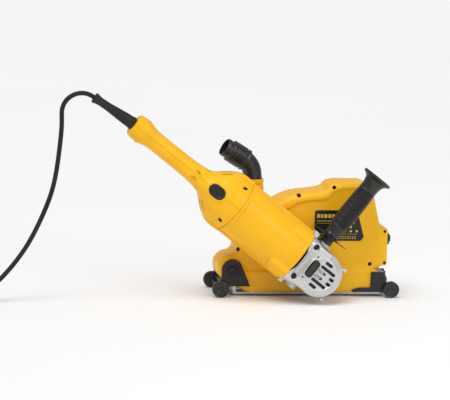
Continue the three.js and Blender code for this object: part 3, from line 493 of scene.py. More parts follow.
def build_edge_wear():
    """A mask of proud edges, broken up by noise, where handling polishes or thins the finish."""
    tree, given, result = new_group(
        "edge_wear",
        [("Start", "NodeSocketFloat", 0.52), ("End", "NodeSocketFloat", 0.6),
         ("Amount", "NodeSocketFloat", 0.5)],
        [("Mask", "NodeSocketFloat")])
    shape = add_node(tree, "ShaderNodeNewGeometry")
    place = add_node(tree, "ShaderNodeTexCoord")
    edges = add_node(tree, "ShaderNodeMapRange",
                     {"Value": shape.outputs["Pointiness"], "From Min": given.outputs["Start"],
                      "From Max": given.outputs["End"]})
    chips = add_node(tree, "ShaderNodeTexNoise",
                     {"Vector": place.outputs["Object"], "Scale": 260.0, "Detail": 3.0})
    broken = add_node(tree, "ShaderNodeMapRange",
                      {"Value": chips.outputs["Fac"], "From Min": 0.35, "From Max": 0.62})
    mask = add_node(tree, "ShaderNodeMath",
                    {0: edges.outputs["Result"], 1: broken.outputs["Result"]}, operation="MULTIPLY")
    scaled = add_node(tree, "ShaderNodeMath",
                      {0: mask.outputs[0], 1: given.outputs["Amount"]}, operation="MULTIPLY")
    tree.links.new(scaled.outputs[0], result.inputs["Mask"])
    return tree


def build_dust_film():
    """A mask of masonry dust, thickest on faces that look up and in hollows."""
    tree, given, result = new_group(
        "dust_film", [("Amount", "NodeSocketFloat", 0.1)], [("Mask", "NodeSocketFloat")])
    shape = add_node(tree, "ShaderNodeNewGeometry")
    place = add_node(tree, "ShaderNodeTexCoord")
    facing = add_node(tree, "ShaderNodeSeparateXYZ", {0: shape.outputs["Normal"]})
    up = add_node(tree, "ShaderNodeMapRange",
                  {"Value": facing.outputs["Z"], "From Min": 0.1, "From Max": 1.0})
    hollow = add_node(tree, "ShaderNodeMapRange",
                      {"Value": shape.outputs["Pointiness"], "From Min": 0.5, "From Max": 0.44})
    either = add_node(tree, "ShaderNodeMath",
                      {0: up.outputs["Result"], 1: hollow.outputs["Result"]}, operation="MAXIMUM")
    patches = add_node(tree, "ShaderNodeTexNoise",
                       {"Vector": place.outputs["Object"], "Scale": 45.0, "Detail": 6.0})
    ragged = add_node(tree, "ShaderNodeMapRange",
                      {"Value": patches.outputs["Fac"], "From Min": 0.3, "From Max": 0.75})
    film = add_node(tree, "ShaderNodeMath",
                    {0: either.outputs[0], 1: ragged.outputs["Result"]}, operation="MULTIPLY")
    scaled = add_node(tree, "ShaderNodeMath",
                      {0: film.outputs[0], 1: given.outputs["Amount"]}, operation="MULTIPLY")
    tree.links.new(scaled.outputs[0], result.inputs["Mask"])
    return tree


GROUP_BUILDERS = {"fine_grain": build_fine_grain, "colour_drift": build_colour_drift,
                  "edge_wear": build_edge_wear, "dust_film": build_dust_film}


def add_group(tree, name, inputs):
    """A node that places a shared shader group, made the first time that it is asked for."""
    group = bpy.data.node_groups.get(name) or GROUP_BUILDERS[name]()
    return add_node(tree, "ShaderNodeGroup", inputs, node_tree=group)


# name: colour, second colour, worn colour, (rough low, rough high), metallic, grain mm, grain depth,
# wear, dust, gloss
FINISHES = {
    "yellow_plastic": dict(colour="yellow", second="yellow_deep", worn="yellow_pale", rough=(0.30, 0.38),
                           grain=0.9, depth=0.05, wear=0.18, dust=0.008, gloss=0.22),
    "frame_paint": dict(colour="charcoal", second="charcoal_deep", worn="charcoal_worn", rough=(0.42, 0.55),
                        grain=1.1, depth=0.16, wear=0.3, dust=0.02, gloss=0.28),
    "gearcase_alloy": dict(colour="alloy", second="alloy_deep", worn="alloy_pale", rough=(0.30, 0.42),
                           metallic=0.55, grain=0.8, depth=0.14, wear=0.4, dust=0.01),
    "steel": dict(colour="steel", second="steel_deep", worn="alloy_pale", rough=(0.24, 0.38),
                  metallic=1.0, grain=0.5, depth=0.05, wear=0.4, dust=0.0),
    "black_plastic": dict(colour="black", second="black_soft", worn="black_worn", rough=(0.26, 0.36),
                          grain=0.8, depth=0.06, wear=0.25, dust=0.008, gloss=0.5),
    "grip_rubber": dict(colour="black", second="black_soft", worn="black_worn", rough=(0.45, 0.58),
                        grain=0.7, depth=0.12, wear=0.2, dust=0.01, gloss=0.28),
    "cord_rubber": dict(colour="black_soft", second="black", worn="black_worn", rough=(0.42, 0.55),
                        grain=0.6, depth=0.08, wear=0.1, dust=0.008, gloss=0.22),
    "copper": dict(colour="copper", second="copper_deep", worn="copper", rough=(0.3, 0.45),
                   metallic=0.9, grain=0.6, depth=0.3, wear=0.2, dust=0.0),
    "brass": dict(colour="brass", second="brass_deep", worn="brass", rough=(0.25, 0.4),
                  metallic=1.0, grain=0.5, depth=0.05, wear=0.3, dust=0.0),
    "label_black": dict(colour="black", second="black_soft", worn="black_soft", rough=(0.22, 0.3),
                        grain=0.4, depth=0.02, wear=0.1, dust=0.005, gloss=0.3),
}


def finish(name):
    """The material for a finish, made once from the shared groups and the scene's colours."""
    title = f"look_{name}"
    if title in bpy.data.materials:
        return bpy.data.materials[title]
    look = FINISHES[name]
    colours = bpy.context.scene.chaser_colours
    shades = {key: (*getattr(colours, look[key]), 1.0) for key in ("colour", "second", "worn")}
    material = bpy.data.materials.new(title)
    material.use_nodes = True
    tree = material.node_tree
    tree.nodes.clear()
    drift = add_group(tree, "colour_drift",
                      {"Colour": shades["colour"], "Towards": shades["second"], "Spread": 0.05})
    wear = add_group(tree, "edge_wear", {"Amount": look["wear"]})
    worn = add_node(tree, "ShaderNodeMix", {0: wear.outputs["Mask"], 6: drift.outputs["Colour"],
                                            7: shades["worn"]}, data_type="RGBA")
    dust = add_group(tree, "dust_film", {"Amount": look["dust"]})
    dusty = add_node(tree, "ShaderNodeMix", {0: dust.outputs["Mask"], 6: worn.outputs[2],
                                             7: (*colours.dust, 1.0)}, data_type="RGBA")
    low, high = look["rough"]
    rough = add_node(tree, "ShaderNodeMapRange",
                     {"Value": drift.outputs["Mask"], "To Min": low, "To Max": high})
    matt = add_node(tree, "ShaderNodeMath",
                    {0: rough.outputs["Result"], 1: dust.outputs["Mask"]}, operation="ADD", use_clamp=True)
    grain = add_group(tree, "fine_grain", {"Size": look["grain"] * MM})
    bump = add_node(tree, "ShaderNodeBump", {"Height": grain.outputs["Height"], "Strength": look["depth"],
                                             "Distance": 0.0004})
    shader = add_node(tree, "ShaderNodeBsdfPrincipled",
                      {"Base Color": dusty.outputs[2], "Roughness": matt.outputs[0],
                       "Normal": bump.outputs["Normal"], "Metallic": look.get("metallic", 0.0),
                       "Specular IOR Level": look.get("gloss", 0.5)})
    output = add_node(tree, "ShaderNodeOutputMaterial")
    tree.links.new(shader.outputs["BSDF"], output.inputs["Surface"])
    return material


def plain_mark(name, colour, roughness=0.4):
    """Printed ink or a shadowed insert: one colour with a trace of drift."""
    if name in bpy.data.materials:
        return bpy.data.materials[name]
    material = bpy.data.materials.new(name)
    material.use_nodes = True
    tree = material.node_tree
    shader = tree.nodes["Principled BSDF"]
    drift = add_group(tree, "colour_drift", {"Colour": (*colour, 1.0), "Spread": 0.02,
                                             "Towards": (*(c * 0.86 for c in colour), 1.0)})
    tree.links.new(drift.outputs["Colour"], shader.inputs["Base Color"])
    shader.inputs["Roughness"].default_value = roughness
    return material


# ==== The pieces' meshes ====

# -- Cord and plug --

CORD_ROUTE = [
    (-465.2, -92, 314), (-467.6, -92, 286), (-470.2, -92, 258), (-473.4, -92, 231), (-478, -92, 206),
    (-484.6, -92, 183), (-493, -92, 161), (-502.6, -92, 139), (-513, -93, 117), (-525.6, -94, 95),
    (-541, -95, 73), (-559, -96.4, 51), (-579, -98.6, 31), (-600, -101, 14.5), (-619, -103.4, 6),
    (-636, -103.6, 4.4),
]
CORD_RADIUS = 4.2
CORD_BEND = 35.0
COIL_CENTRE = (-668.0, -45.0)
COIL_OUTER = 59.0
COIL_STEP = 8.35
COIL_LAYERS = 4
COIL_TURNS = 3
PLUG_TAIL = Vector((-714.0, -75.0, 48.9))


def cord_exit():
    """Where the cord leaves the strain relief and the way it points, in MACHINE millimetres."""
    along = Vector((math.cos(GUARD_DROOP), 0, -math.sin(GUARD_DROOP)))
    tip = Vector((HANDLE_END, 0, 0)) + along * 84.3
    to_machine = MACHINE.inverted() @ GRINDER
    return to_machine @ tip, (to_machine.to_3x3() @ along).normalized()


def coil_point(turns):
    """A point on the wound coil, which goes in and out by turns, one layer above the last."""
    layer, part = divmod(turns, COIL_TURNS)
    layer = min(int(layer), COIL_LAYERS - 1)
    part = turns - layer * COIL_TURNS
    inward = layer % 2 == 0
    across = part if inward else COIL_TURNS - part
    radius = COIL_OUTER - COIL_STEP * across
    height = CORD_RADIUS
    for change in range(1, COIL_LAYERS):
        height += 2 * CORD_RADIUS * ease(turns, change * COIL_TURNS - 0.3, change * COIL_TURNS + 0.28)
    angle = -math.pi / 2 - 2 * math.pi * turns
    return Vector((COIL_CENTRE[0] + radius * math.cos(angle), COIL_CENTRE[1] + radius * math.sin(angle),
                   height))


def cord_path():
    """The cord's whole line, from the strain relief to the plug, in MACHINE millimetres."""
    tip, along = cord_exit()
    start = tip + along * 4
    inward = Vector((-along.z, 0, along.x)) * CORD_BEND
    first = [tip, tip + along * 2, start]
    for k in range(1, 23):
        turn = Matrix.Rotation(-math.radians(122) * k / 22, 3, "Y")
        first.append(start + inward + turn @ -inward)
    rest = smooth_path([first[-2], first[-1], *CORD_ROUTE, coil_point(0.0), coil_point(0.02)], 3.0)
    for _ in range(40):
        for k in range(3, len(rest) - 2):
            rest[k] = rest[k] / 2 + (rest[k - 1] + rest[k + 1]) / 4
    hanging = first + rest[2:]
    total = COIL_LAYERS * COIL_TURNS - 0.09
    wound = [coil_point(0.02 + (total - 0.02) * k / 1200) for k in range(1, 1201)]
    # The end leaves the coil straight, turns back along an arc and meets the plug's tail.
    heading = (wound[-1] - wound[-2]).to_2d().normalized()
    across = Vector((heading.y, -heading.x))
    reach = PLUG_TAIL.to_2d() - wound[-1].to_2d()
    straight = (reach.x - CORD_BEND * (across.x - 1)) / heading.x
    plan = [wound[-1].to_2d() + heading * straight * k / 8 for k in range(1, 9)]
    centre = plan[-1] + across * CORD_BEND
    sweep = math.atan2(heading.y, heading.x) % (2 * math.pi) - math.pi / 2
    plan += [centre + Matrix.Rotation(-sweep * k / 26, 2) @ (-across * CORD_BEND) for k in range(1, 27)]
    plan.append(PLUG_TAIL.to_2d())
    lead = [point.to_3d() + Vector((0, 0, wound[-1].z
                                    + (PLUG_TAIL.z - wound[-1].z) * ease(k, 0, len(plan) - 2)))
            for k, point in enumerate(plan)]
    return evenly(hanging + wound + lead, 2.6)


def shape_plug():
    x, z = PLUG_TAIL.x, PLUG_TAIL.z
    y = PLUG_TAIL.y + 30
    body = [(4.4, y - 30), (5.6, y - 29.4), (6, y - 28)]
    for k in range(4):
        at = y - 26 + k * 3.4
        body += [(6.2 + k * 0.5, at), (7 + k * 0.5, at + 0.5), (7 + k * 0.5, at + 1.9),
                 (6.2 + k * 0.5, at + 2.4)]
    body += [(9, y - 12), (12.5, y - 9), (14.6, y - 6), (15, y - 3), (15, y + 16), (14.4, y + 18.6),
             (13, y + 20),
             (0, y + 20)]
    ribs = [rod((x + 15.4 * math.cos(a), y - 2, z + 15.4 * math.sin(a)),
                (x + 15.4 * math.cos(a), y + 13, z + 15.4 * math.sin(a)), 1.3, 10)
            for a in (math.radians(30 * k) for k in range(12))]
    pins = [turned([(0, y + 18), (2.4, y + 18), (2.4, y + 37.4), (1.6, y + 39), (0, y + 39)], "Y",
                   (x + side * 9.5, z), 24)
            for side in (-1, 1)]
    return carve(turned([(0, y - 30), *body], "Y", (x, z), 72), *ribs), together(*pins)


# -- Dust shroud --

ROOF = [(110, 44), (137, 56), (137, 126), (129, 133), (117.5, 180), (109, 203), (98, 209), (50, 209),
        (35, 206),
        (27, 196), (6, 191.5), (-27, 188.5), (-48, 181), (-66, 171), (-96, 168), (-128, 170), (-136, 77),
        (-156, 74), (-169, 58), (-167, 36), (-140, 20), (-107, 2), (108, 2)]
ROOF_TURNS = [3, 5, 7, 10, 60, 12, 14, 16, 14, 14, 40, 60, 40, 20, 20, 14, 12, 22, 16, 14, 12, 2, 2]
RECESS = [(150, 46), (150, 205), (113, 205), (96, 199.5), (60, 198.5), (45, 196), (36, 189), (31, 181),
          (20, 178),
          (-7, 176.5), (-25, 171.5), (-44, 161), (-75, 150), (-150, 150), (-170, 46)]
RECESS_TURNS = [0, 0, 8, 12, 14, 10, 12, 8, 14, 30, 30, 30, 20, 0, 0]


def shape_shroud_shell(near):
    """One half of the shroud, drawn for the near side; the far one is its mirror image without the
    spindle hole."""
    border = bpy.context.scene.chaser_sizes.roof_border * 1000
    face = -SHROUD_HALF
    roof = slab(rounded(ROOF, ROOF_TURNS, 6), face - border, -0.15, "Y", 12.0, 0, 6)
    body = carve(roof, slab(rounded(RECESS, RECESS_TURNS), face - 20, face, "Y"),
                 block(-200, 200, -60, 5, -20, 8))
    drum = turned([(0, face), (18.4, face), (20, face + 1.6), (20, -0.15), (0, -0.15)], "Y", PIVOT, 48)
    neck = keep(turned([(0, 150), (40, 150), (31, 168), (24, 180), (21.4, 188), (21.4, DUCT_TOP - 0.3),
                        (0, DUCT_TOP - 0.3)], "Z", (DUCT_X, 0), 64), block(-200, 0, -60, -0.15, 100, 230))
    band = slab(rounded([(58, 10), (130, 10), (134, 20), (134, 40), (126, 49), (66, 49), (58, 40)], 5),
                face - 0.8, face + 4, "Y", 0.8)
    flange = block(130, 144.5, -35.8, -0.15, 56.5, 125, 3.0)
    body = join(body, drum, neck, band, flange)
    hollow = slab(inset(closer(rounded(ROOF, ROOF_TURNS, 6), 4.0), 3.2), face + 3, 5, "Y", 8.0, 0, 5)
    mouth = block(-101, 105, face + 3, 5, -20, 14)
    guide = block(113.5, 129.5, -7.5, 7.5, 40, 64)
    bore = rod((DUCT_X, 0, 140), (DUCT_X, 0, 230), 17.5, 48)
    axle = rod((PIVOT[0], -60, PIVOT[1]), (PIVOT[0], -30, PIVOT[1]), 8.4)
    # Screw wells, and the fine moulded line across the face.
    wells = [rod((x, face - 8, z), (x, face + depth, z), 3.6, 24)
             for x, z, depth in ((-24, 185, 12), (40.5, 200.5, 14), (-133, 86, 5), (112, 60, 5))]
    wells += [rod((x, -50, z), (x, -24, z), 3.0, 24) for x, z in ((138.6, 119.6), (140.4, 61.5))]
    line = block(-40, 126, face - 0.2, face + 0.9, 167.2, 168.9)
    side_line = block(104, 150, face - 4, face + 0.9, 127.8, 129.2)
    rear_window = rod((PIVOT[0], -30, PIVOT[1]), (PIVOT[0], 5, PIVOT[1]), 15.5, 48)
    tools = [hollow, mouth, guide, bore, axle, line, side_line, rear_window, *wells]
    if near:
        tools.append(rod((0, -60, 57), (0, -30, 57), 30.8, 64))
    else:
        tools.append(turned([(52, face - 1), (54, face - 1), (54, face + 0.9), (52, face + 0.9)], "Y",
                            (0, 57), 72, True))
    shell = moulded(carve(body, *tools), bpy.context.scene.chaser_sizes.casting_step * 1000, 7)
    return shell if near else mirrored(shell, "Y")


def shape_dust_collar():
    profile = [(17.6, 195.5), (21.3, 195.5), (21.3, 198.0), (20.6, 198.8), (20.0, 199.4), (20.0, 203.6),
               (20.6, 204.6),
               (21.2, 205.2), (21.2, 206.2), (20.4, 207.0), (20.4, 208.0), (21.1, 208.8), (21.1, 210.2),
               (20.5, 211), (18.2, 211), (17.6, 210.4)]
    return turned(profile, "Z", (DUCT_X, 0), 96, True)


# -- Dust elbow --

def shape_elbow():
    """The bend, as an open pipe: one skin outside and one inside."""
    start = Vector((DUCT_X, 0, 196.3))
    bend = [start, Vector((DUCT_X, 0, ELBOW_CORNER.z - 26))]
    for k in range(1, 15):
        t = k / 15
        a, b = Vector((DUCT_X, 0, ELBOW_CORNER.z - 22)), ELBOW_CORNER + OUTLET * 22
        bend.append(a * (1 - t) ** 2 + 2 * t * (1 - t) * ELBOW_CORNER + b * t * t)
    bend += [ELBOW_CORNER + OUTLET * s for s in (24, 34, 46)]
    path = evenly(bend, 2.0)
    outside = [17.2 + 0.5 * (ease(i * 2.0, 14.6, 15.4) - ease(i * 2.0, 18.6, 19.4)) for i in range(len(path))]
    outer = tube(path, lambda i: outside[i], 64)
    longer = [path[0] + (path[0] - path[1])] + path + [path[-1] + (path[-1] - path[-2])]
    return carve(outer, tube(longer, 14.6, 48))


def shape_adapter():
    """The ribbed sleeve and the mouth that a hose pushes onto."""
    profile = [(17.6, 16), (19.6, 16), (20.3, 16.8), (20.3, 19.4), (19.5, 20.4), (19.0, 21.2), (19.0, 22.6)]
    for k in range(4):
        at = 24 + k * 5.6
        profile += [(19.2, at), (20.5, at + 0.8), (20.5, at + 2.8), (19.2, at + 3.6), (18.8, at + 4.2),
                    (18.8, at + 5.0)]
    profile += [(19.6, 47), (20.4, 48), (20.4, 50.4), (19.4, 51.6), (17.4, 52.4), (16.6, 53.2), (16.6, 58.4),
                (17.3, 59.2), (17.3, 60.6), (16.7, 61.4), (16.7, 63.8), (16.1, 64.5), (15.1, 64.5),
                (14.6, 64.0),
                (14.6, 48), (17.6, 47)]
    sleeve = turned(profile, "Z", (0, 0), 96, True)
    sleeve.transform(OUTLET.to_track_quat("Z", "Y").to_matrix().to_4x4())
    sleeve.transform(Matrix.Translation(ELBOW_CORNER))
    return sleeve


# -- Label --

LABEL = [(6, 103), (93, 103), (98.5, 110), (88, 147), (78, 159), (6, 159)]


def shape_label():
    face = -SHROUD_HALF
    plate = slab(rounded(LABEL, [4, 5, 5, 6, 6, 4]), face - 0.9, face - 0.3, "Y", 0.3)
    marks = [(x, x + wide, 145, 152) for x, wide in ((10, 5.4), (17, 4.0), (22.6, 6.6), (31, 5.2), (38, 4.6),
                                                     (44.4, 5.2))]
    marks += [(10 + 3.4 * k, 12.4 + 3.4 * k, 138.6, 140.4) for k in range(12)]
    marks += [(10, 82, 135.0, 135.5), (10, 86, 115.2, 115.7)]
    marks += [(10 + 4.4 * k, 13 + 4.4 * k, 110.2 - 3.2 * row, 111.4 - 3.2 * row) for row in range(2)
              for k in range(17)]
    for row in range(2):
        marks += [(50 + 11 * k, 53.6 + 11 * k, 119 + row * 7.6, 122.6 + row * 7.6) for k in range(4 - row)]
    plates = [slab(rounded([(x0, z0), (x1, z0), (x1, z1), (x0, z1)], 0.5, 3), face - 1.02, face - 0.88, "Y")
              for x0, x1, z0, z1 in marks]
    return plate, together(*plates)


# -- Gearcase --

def shape_gearcase():
    """The cast head: a round belly, a wedge back to the motor, bosses, a trough and the air grille."""
    top, low = GEARCASE_TOP - 1.5, GEARCASE_BOTTOM
    drum = turned([(0, low), (40, low), (42, low + 2), (42, 34), (41, 36.5), (33, 41.6), (31.6, 42.4),
                   (31, GEARCASE_TOP),
                   (27.2, GEARCASE_TOP), (26.6, top), (0, top)], "Y", (0, 0), 96)
    cone = keep(turned([(0, -6), (36, -6), (42, 2), (45.5, 22), (48.6, 40), (49.2, 43), (49.2, 49.7),
                        (0, 49.7)], "X",
                       (0, 0), 96), block(-10, 60, low, top, -60, 60))
    rim = turned([(40, 43), (49.2, 43), (49.2, 49.7), (40, 49.7)], "X", (0, 0), 96, True)
    bosses = [rod((24, 29, side * 33), (49.7, 29, side * 33), 9.5) for side in (-1, 1)]
    bosses += [rod((28, -20, side * 33), (49.7, -20, side * 33), 9.0) for side in (-1, 1)]
    stud_boss = turned([(0, 30), (10.6, 30), (10.6, 48.6), (9.8, 50), (0, 50)], "Z", SIDE_AXIS, 48)
    spare_boss = turned([(0, -30), (10.4, -30), (10.4, -51), (9.6, -52), (0, -52)], "Z", SIDE_AXIS, 48)
    lugs = [rod((-36, 8, side * 33), (-36, 24, side * 33), 3.6, 24) for side in (-1, 1)]
    lugs += [slab([(-36, side * 30.4), (-28, side * 24), (-22, side * 31), (-33, side * 35)], 10, 22, "Y")
             for side in (-1, 1)]
    brackets = [block(40, 49.7, -8, 16, 44, 57.5, 2.0), block(40, 49.7, -8, 16, -55, -44, 2.0)]
    neck = loft([[(x, u, v) for u, v in rounded([(-30, -half), (top, -half), (top, half), (-30, half)],
                                                [2, edge, edge, 2], 6)]
                 for x, half, edge in ((4, 41, 3), (18, 41.4, 5), (32, 43.6, 9), (39, 46.4, 14),
                                       (49.7, 47, 17))])
    body = join(drum, cone, rim, neck, *bosses, stud_boss, spare_boss, *lugs, *brackets)
    trough = rod((36.4, 46.5, -29), (36.4, 46.5, 33), 8.2)
    screws = [rod((36.6, 26, z), (36.6, 60, z), 5.4) for z in (-31, 34.5)]
    pits = [block(31.5, 34.5, 38, 60, z - 1.2, z + 1.2) for z in (44, -41.5)]
    pits += [rod((23.5, 38, z), (23.5, 60, z), 2.4, 20) for z in (22.5, -22.5)]
    gap = rod((115.4, 16, 0), (115.4, 70, 0), 71.9, 160)
    slots = []
    for z in (-24, -14, -5, 5, 14, 24):
        reach = math.sqrt(max(27.6 ** 2 - (abs(z) + 2.2) ** 2, 25))
        front = 8.6 if abs(z) < 20 else 6
        spans = [(-reach, front)] if abs(z) > 10 else [(-7.5, front), (-reach, -17.5)]
        slots += [block(x0, x1, 34, 60, z - 2.8, z + 2.8, 1.2) for x0, x1 in spans]
    cavity = turned([(0, low + 4), (37.5, low + 4), (37.5, 33), (30, 38.6), (0, 38.6)], "Y", (0, 0), 72)
    back = keep(turned([(0, 6), (36, 6), (43.5, 40), (44.5, 60), (0, 60)], "X", (0, 0), 72),
                block(8, 70, low + 4.7, 35.5, -60, 60))
    mouth = rod((0, low - 5, 0), (0, low + 8, 0), 19.4, 48)
    stud_hole = rod((SIDE_AXIS[0], SIDE_AXIS[1], 40), (SIDE_AXIS[0], SIDE_AXIS[1], 60), 5.3, 32)
    spare_hole = rod((SIDE_AXIS[0], SIDE_AXIS[1], -60), (SIDE_AXIS[0], SIDE_AXIS[1], -42), 5.0, 32)
    cut = carve(body, trough, *screws, *pits, gap, *slots, cavity, back, mouth, stud_hole, spare_hole)
    return moulded(carve(cut, block(11.4, 25.6, 30, 60, -16.2, 16.2, 4.5)), 0.9, 5)


def shape_lock_button():
    """The spindle lock: a rounded cap with a pin behind it."""
    cap = slab(rounded([(12.1, -15.3), (24.9, -15.3), (24.9, 15.3), (12.1, 15.3)], [6, 2.5, 2.5, 6], 6),
               38, 47.3, "Y", 0, 1.6)
    dish = rod((18.5, 59, -30), (18.5, 59, 30), 12.6, 72)
    return join(carve(cap, dish), rod((18, -5.5, 0), (18, 40, 0), 2.2, 20))


# A dark sheet under the grille slots that makes them look black: painted shade for the dark inside of the
# gearcase.
def shape_grille_shade_plate():
    return slab(arc((0, 0), 29, 0, 352, 44), 34.0, 35.2, "Y")


# -- Motor housing and rear handle --

def rail_radius(base, angle, half_width, top):
    """A radius with a flat rail standing on each side of it."""
    across = abs(top * math.cos(angle) / max(abs(math.sin(angle)), 1e-6))
    weight = 1 - ease(across, half_width - 0.8, half_width + 0.8)
    return base + weight * (top / max(abs(math.sin(angle)), 0.5) - base) if top > base - 2 else base


def housing_radius(x, angle):
    r = HOUSING_RADIUS + 1.5 * (1 - ease(x, 60.2, 61.8)) + 0.9 * (ease(x, 58.6, 59.6) - ease(x, 60.2, 61.4))
    r = rail_radius(r, angle, 13, 53)
    y, z = r * math.cos(angle), r * math.sin(angle)
    far = math.hypot(max(x - 79, 0), abs(z) - 36) - 10.5
    pad = 1 - ease(far, -2.2, 1.2)
    if pad > 0 and abs(y) > 8:
        r += pad * max(min(45.4 / abs(math.cos(angle)), 58.0) - r, 0) if abs(z) > 20 else 0
    if y > 0:
        r += 2.6 * ease(x, 184.5, 187.5) * ease(27 - abs(z - 1) * 1.06, 0, 8)
    return r - 1.6 * (1 - ease(x, 49.4, 51.8)) - 0.5 * ease(x, 189.9, 190.7)


def stations(*runs):
    """Places along the body: each run is (start, end, step)."""
    places = []
    for start, end, step in runs:
        count = max(1, round((end - start) / step))
        places += [start + (end - start) * k / count for k in range(count)]
    return places + [runs[-1][1]]


def shape_housing():
    angles = [2 * math.pi * k / 216 for k in range(216)]

    def ring(x, radius):
        return [(x, radius(x, a) * math.cos(a), radius(x, a) * math.sin(a)) for a in angles]

    outside = [ring(x, housing_radius) for x in stations((50, 63, 0.65), (63, 76, 2.2), (76, 94, 1.2),
                                                         (94, 182, 8),
                                                         (182, HOUSING_END, 0.75))]
    inside = [ring(x, lambda _, __, r=r: r) for x, r in
              ((HOUSING_END, 30), (HOUSING_END, 11.3), (184, 11.3), (184, 46), (51, 46), (50, 46.8))]
    return loft(outside + inside, loop=True)


HANDLE_STATIONS = [(191, 51, 49), (204, 51.6, 48.6), (214, 51.8, 47.6), (222, 50.6, 46), (230, 47.4, 43.6),
                   (237, 43.4, 41.2), (245, 37.2, 37.8), (252, 31.2, 35), (259, 25.4, 32), (267, 21.4, 28.2),
                   (281, 19.6, 24.8), (300, 18, 22.4), (345, 17.4, 21.8), (385, 18, 22), (397, 20.4, 24),
                   (407, 22.8, 25), (421, 22, 24.4), (428, 20.4, 22.6)]


def handle_size(x):
    """Half width and half depth of the handle at a place along it, on a smooth curve."""
    rows = HANDLE_STATIONS
    x = min(max(x, rows[0][0]), rows[-1][0])
    at = next(i for i in range(len(rows) - 1) if x <= rows[i + 1][0])
    before, a, b, after = rows[max(at - 1, 0)], rows[at], rows[at + 1], rows[min(at + 2, len(rows) - 1)]
    t = (x - a[0]) / (b[0] - a[0])
    result = []
    for k in (1, 2):
        slope_a = (b[k] - before[k]) / (b[0] - before[0]) * (b[0] - a[0])
        slope_b = (after[k] - a[k]) / (after[0] - a[0]) * (b[0] - a[0])
        result.append((2 * t ** 3 - 3 * t ** 2 + 1) * a[k] + (t ** 3 - 2 * t ** 2 + t) * slope_a
                      + (3 * t ** 2 - 2 * t ** 3) * b[k] + (t ** 3 - t ** 2) * slope_b)
    return result


def handle_ring(x, wall, steps=168):
    """One section of the handle: an oval that squares off a little, with the rails running out on
    the shoulder."""
    wide, deep = handle_size(x)
    wide, deep = wide - wall, deep - wall
    if not wall:
        end = 3.6 * (1 - math.sqrt(max(1 - ease(x, 423.6, 428.2) ** 2, 0)))
        wide, deep = wide - end, deep - end
    power = 2.0 + 0.5 * ease(x, 225, 300)
    ring = []
    for k in range(steps):
        angle = 2 * math.pi * (k + 0.5) / steps
        c, s = math.cos(angle), math.sin(angle)
        r = (abs(c / deep) ** power + abs(s / wide) ** power) ** (-1 / power)
        if not wall:
            top = wide + 2.8 - 3.2 * ease(x, 206, 236)
            r = rail_radius(r, angle, 13 - 4 * ease(x, 200, 240), top) if x < 240 else r
            y, z = r * c, r * s
            if y > 0:
                off = math.hypot(max(abs(x - 242) - 5.4, 0), z) - 11.3
                r += 1.7 * (ease(off, -2.5, 0.4) - ease(off, 2.0, 5.2))
                r += 1.2 * (1 - ease(x, 191.2, 193.5)) * ease(26 - abs(z - 1), 0, 8)
            r -= 0.8 * (1 - ease(x, 191.0, 191.9))
        ring.append((x, r * c, r * s))
    return ring


def shape_handle_half(side):
    """Half of the clamshell handle; side is 1 for the upper half and -1 for the lower one."""
    places = stations((191.0, 194, 0.6), (194, 222, 3.5), (222, 262, 1.6), (262, 300, 5), (300, 384, 12),
                      (384, 422, 3.2), (422, 428, 0.75))
    body = loft([handle_ring(x, 0) for x in places])
    inner = loft([handle_ring(x, 3) for x in stations((189, 222, 5), (222, 262, 4), (262, 425, 9))])
    half = block(150, 460, -90, 90, 0.15, 90) if side > 0 else block(150, 460, -90, 90, -90, -0.15)
    lens = slab(stadium(0, 0, 32.6, 22.6), -9, 12, "Y")
    lens.transform(Matrix.Translation((242, 39.2, 0)) @ Matrix.Rotation(math.radians(-21.8), 4, "Z"))
    trigger = block(276, 354, -60, -10, -7.6, 7.6, 2.0)
    cable = rod((415, 0, 0), (450, 0, 0), 9.2)
    tools = [inner, lens, trigger, cable]
    for y in (17, 5, -7):
        slot = slab(stadium(0, 0, 21, 5.0), -10, 12, "Z")
        slot.transform(Matrix.Translation((243, y, side * 35))
                       @ Matrix.Rotation(side * math.radians(45), 4, "Y"))
        tools.append(slot)
    well = Vector((0.75, 0.62, side * 0.22)).normalized()
    seat = Vector((205, 34, side * 35.5))
    tools += [rod(seat - well * 6, seat + well * 25, 3.6, 28)]
    deep = 9 if side < 0 else 14
    tools += [rod((x, y, side * deep), (x, y, side * 60), 3.1, 28)
              for x, y in ((272, 12), (408, 11), (408, -11))]
    return carve(keep(body, half), *tools)


def shape_switch_lock():
    """The lock-off button: an oval cap with a dished middle, drawn square on and then laid on the
    shoulder."""
    rim = slab(stadium(0, 0, 32, 22, 16), -8, 2.0, "Y", 0, 1.0)
    dish = slab(inset(stadium(0, 0, 32, 22, 16), 3.4), 0.9, 6, "Y", 0.9)
    ridges = [block(x - 0.6, x + 0.6, 0.5, 1.5, -5.4, 5.4, 0.3) for x in (-8, -4, 0, 4, 8)]
    cap = join(carve(rim, dish), *ridges)
    cap.transform(Matrix.Translation((242, 39.2, 0)) @ Matrix.Rotation(math.radians(-21.8), 4, "Z"))
    return cap


def shape_trigger():
    outline = [(280, -8), (344, -8), (350, -12), (350, -19), (340, -27), (320, -33), (292, -33), (280, -26)]
    return moulded(slab(rounded(outline, [1, 1, 2, 3, 8, 10, 8, 4]), -7, 7, "Z", 2.2, 2.2), 0.7, 3)


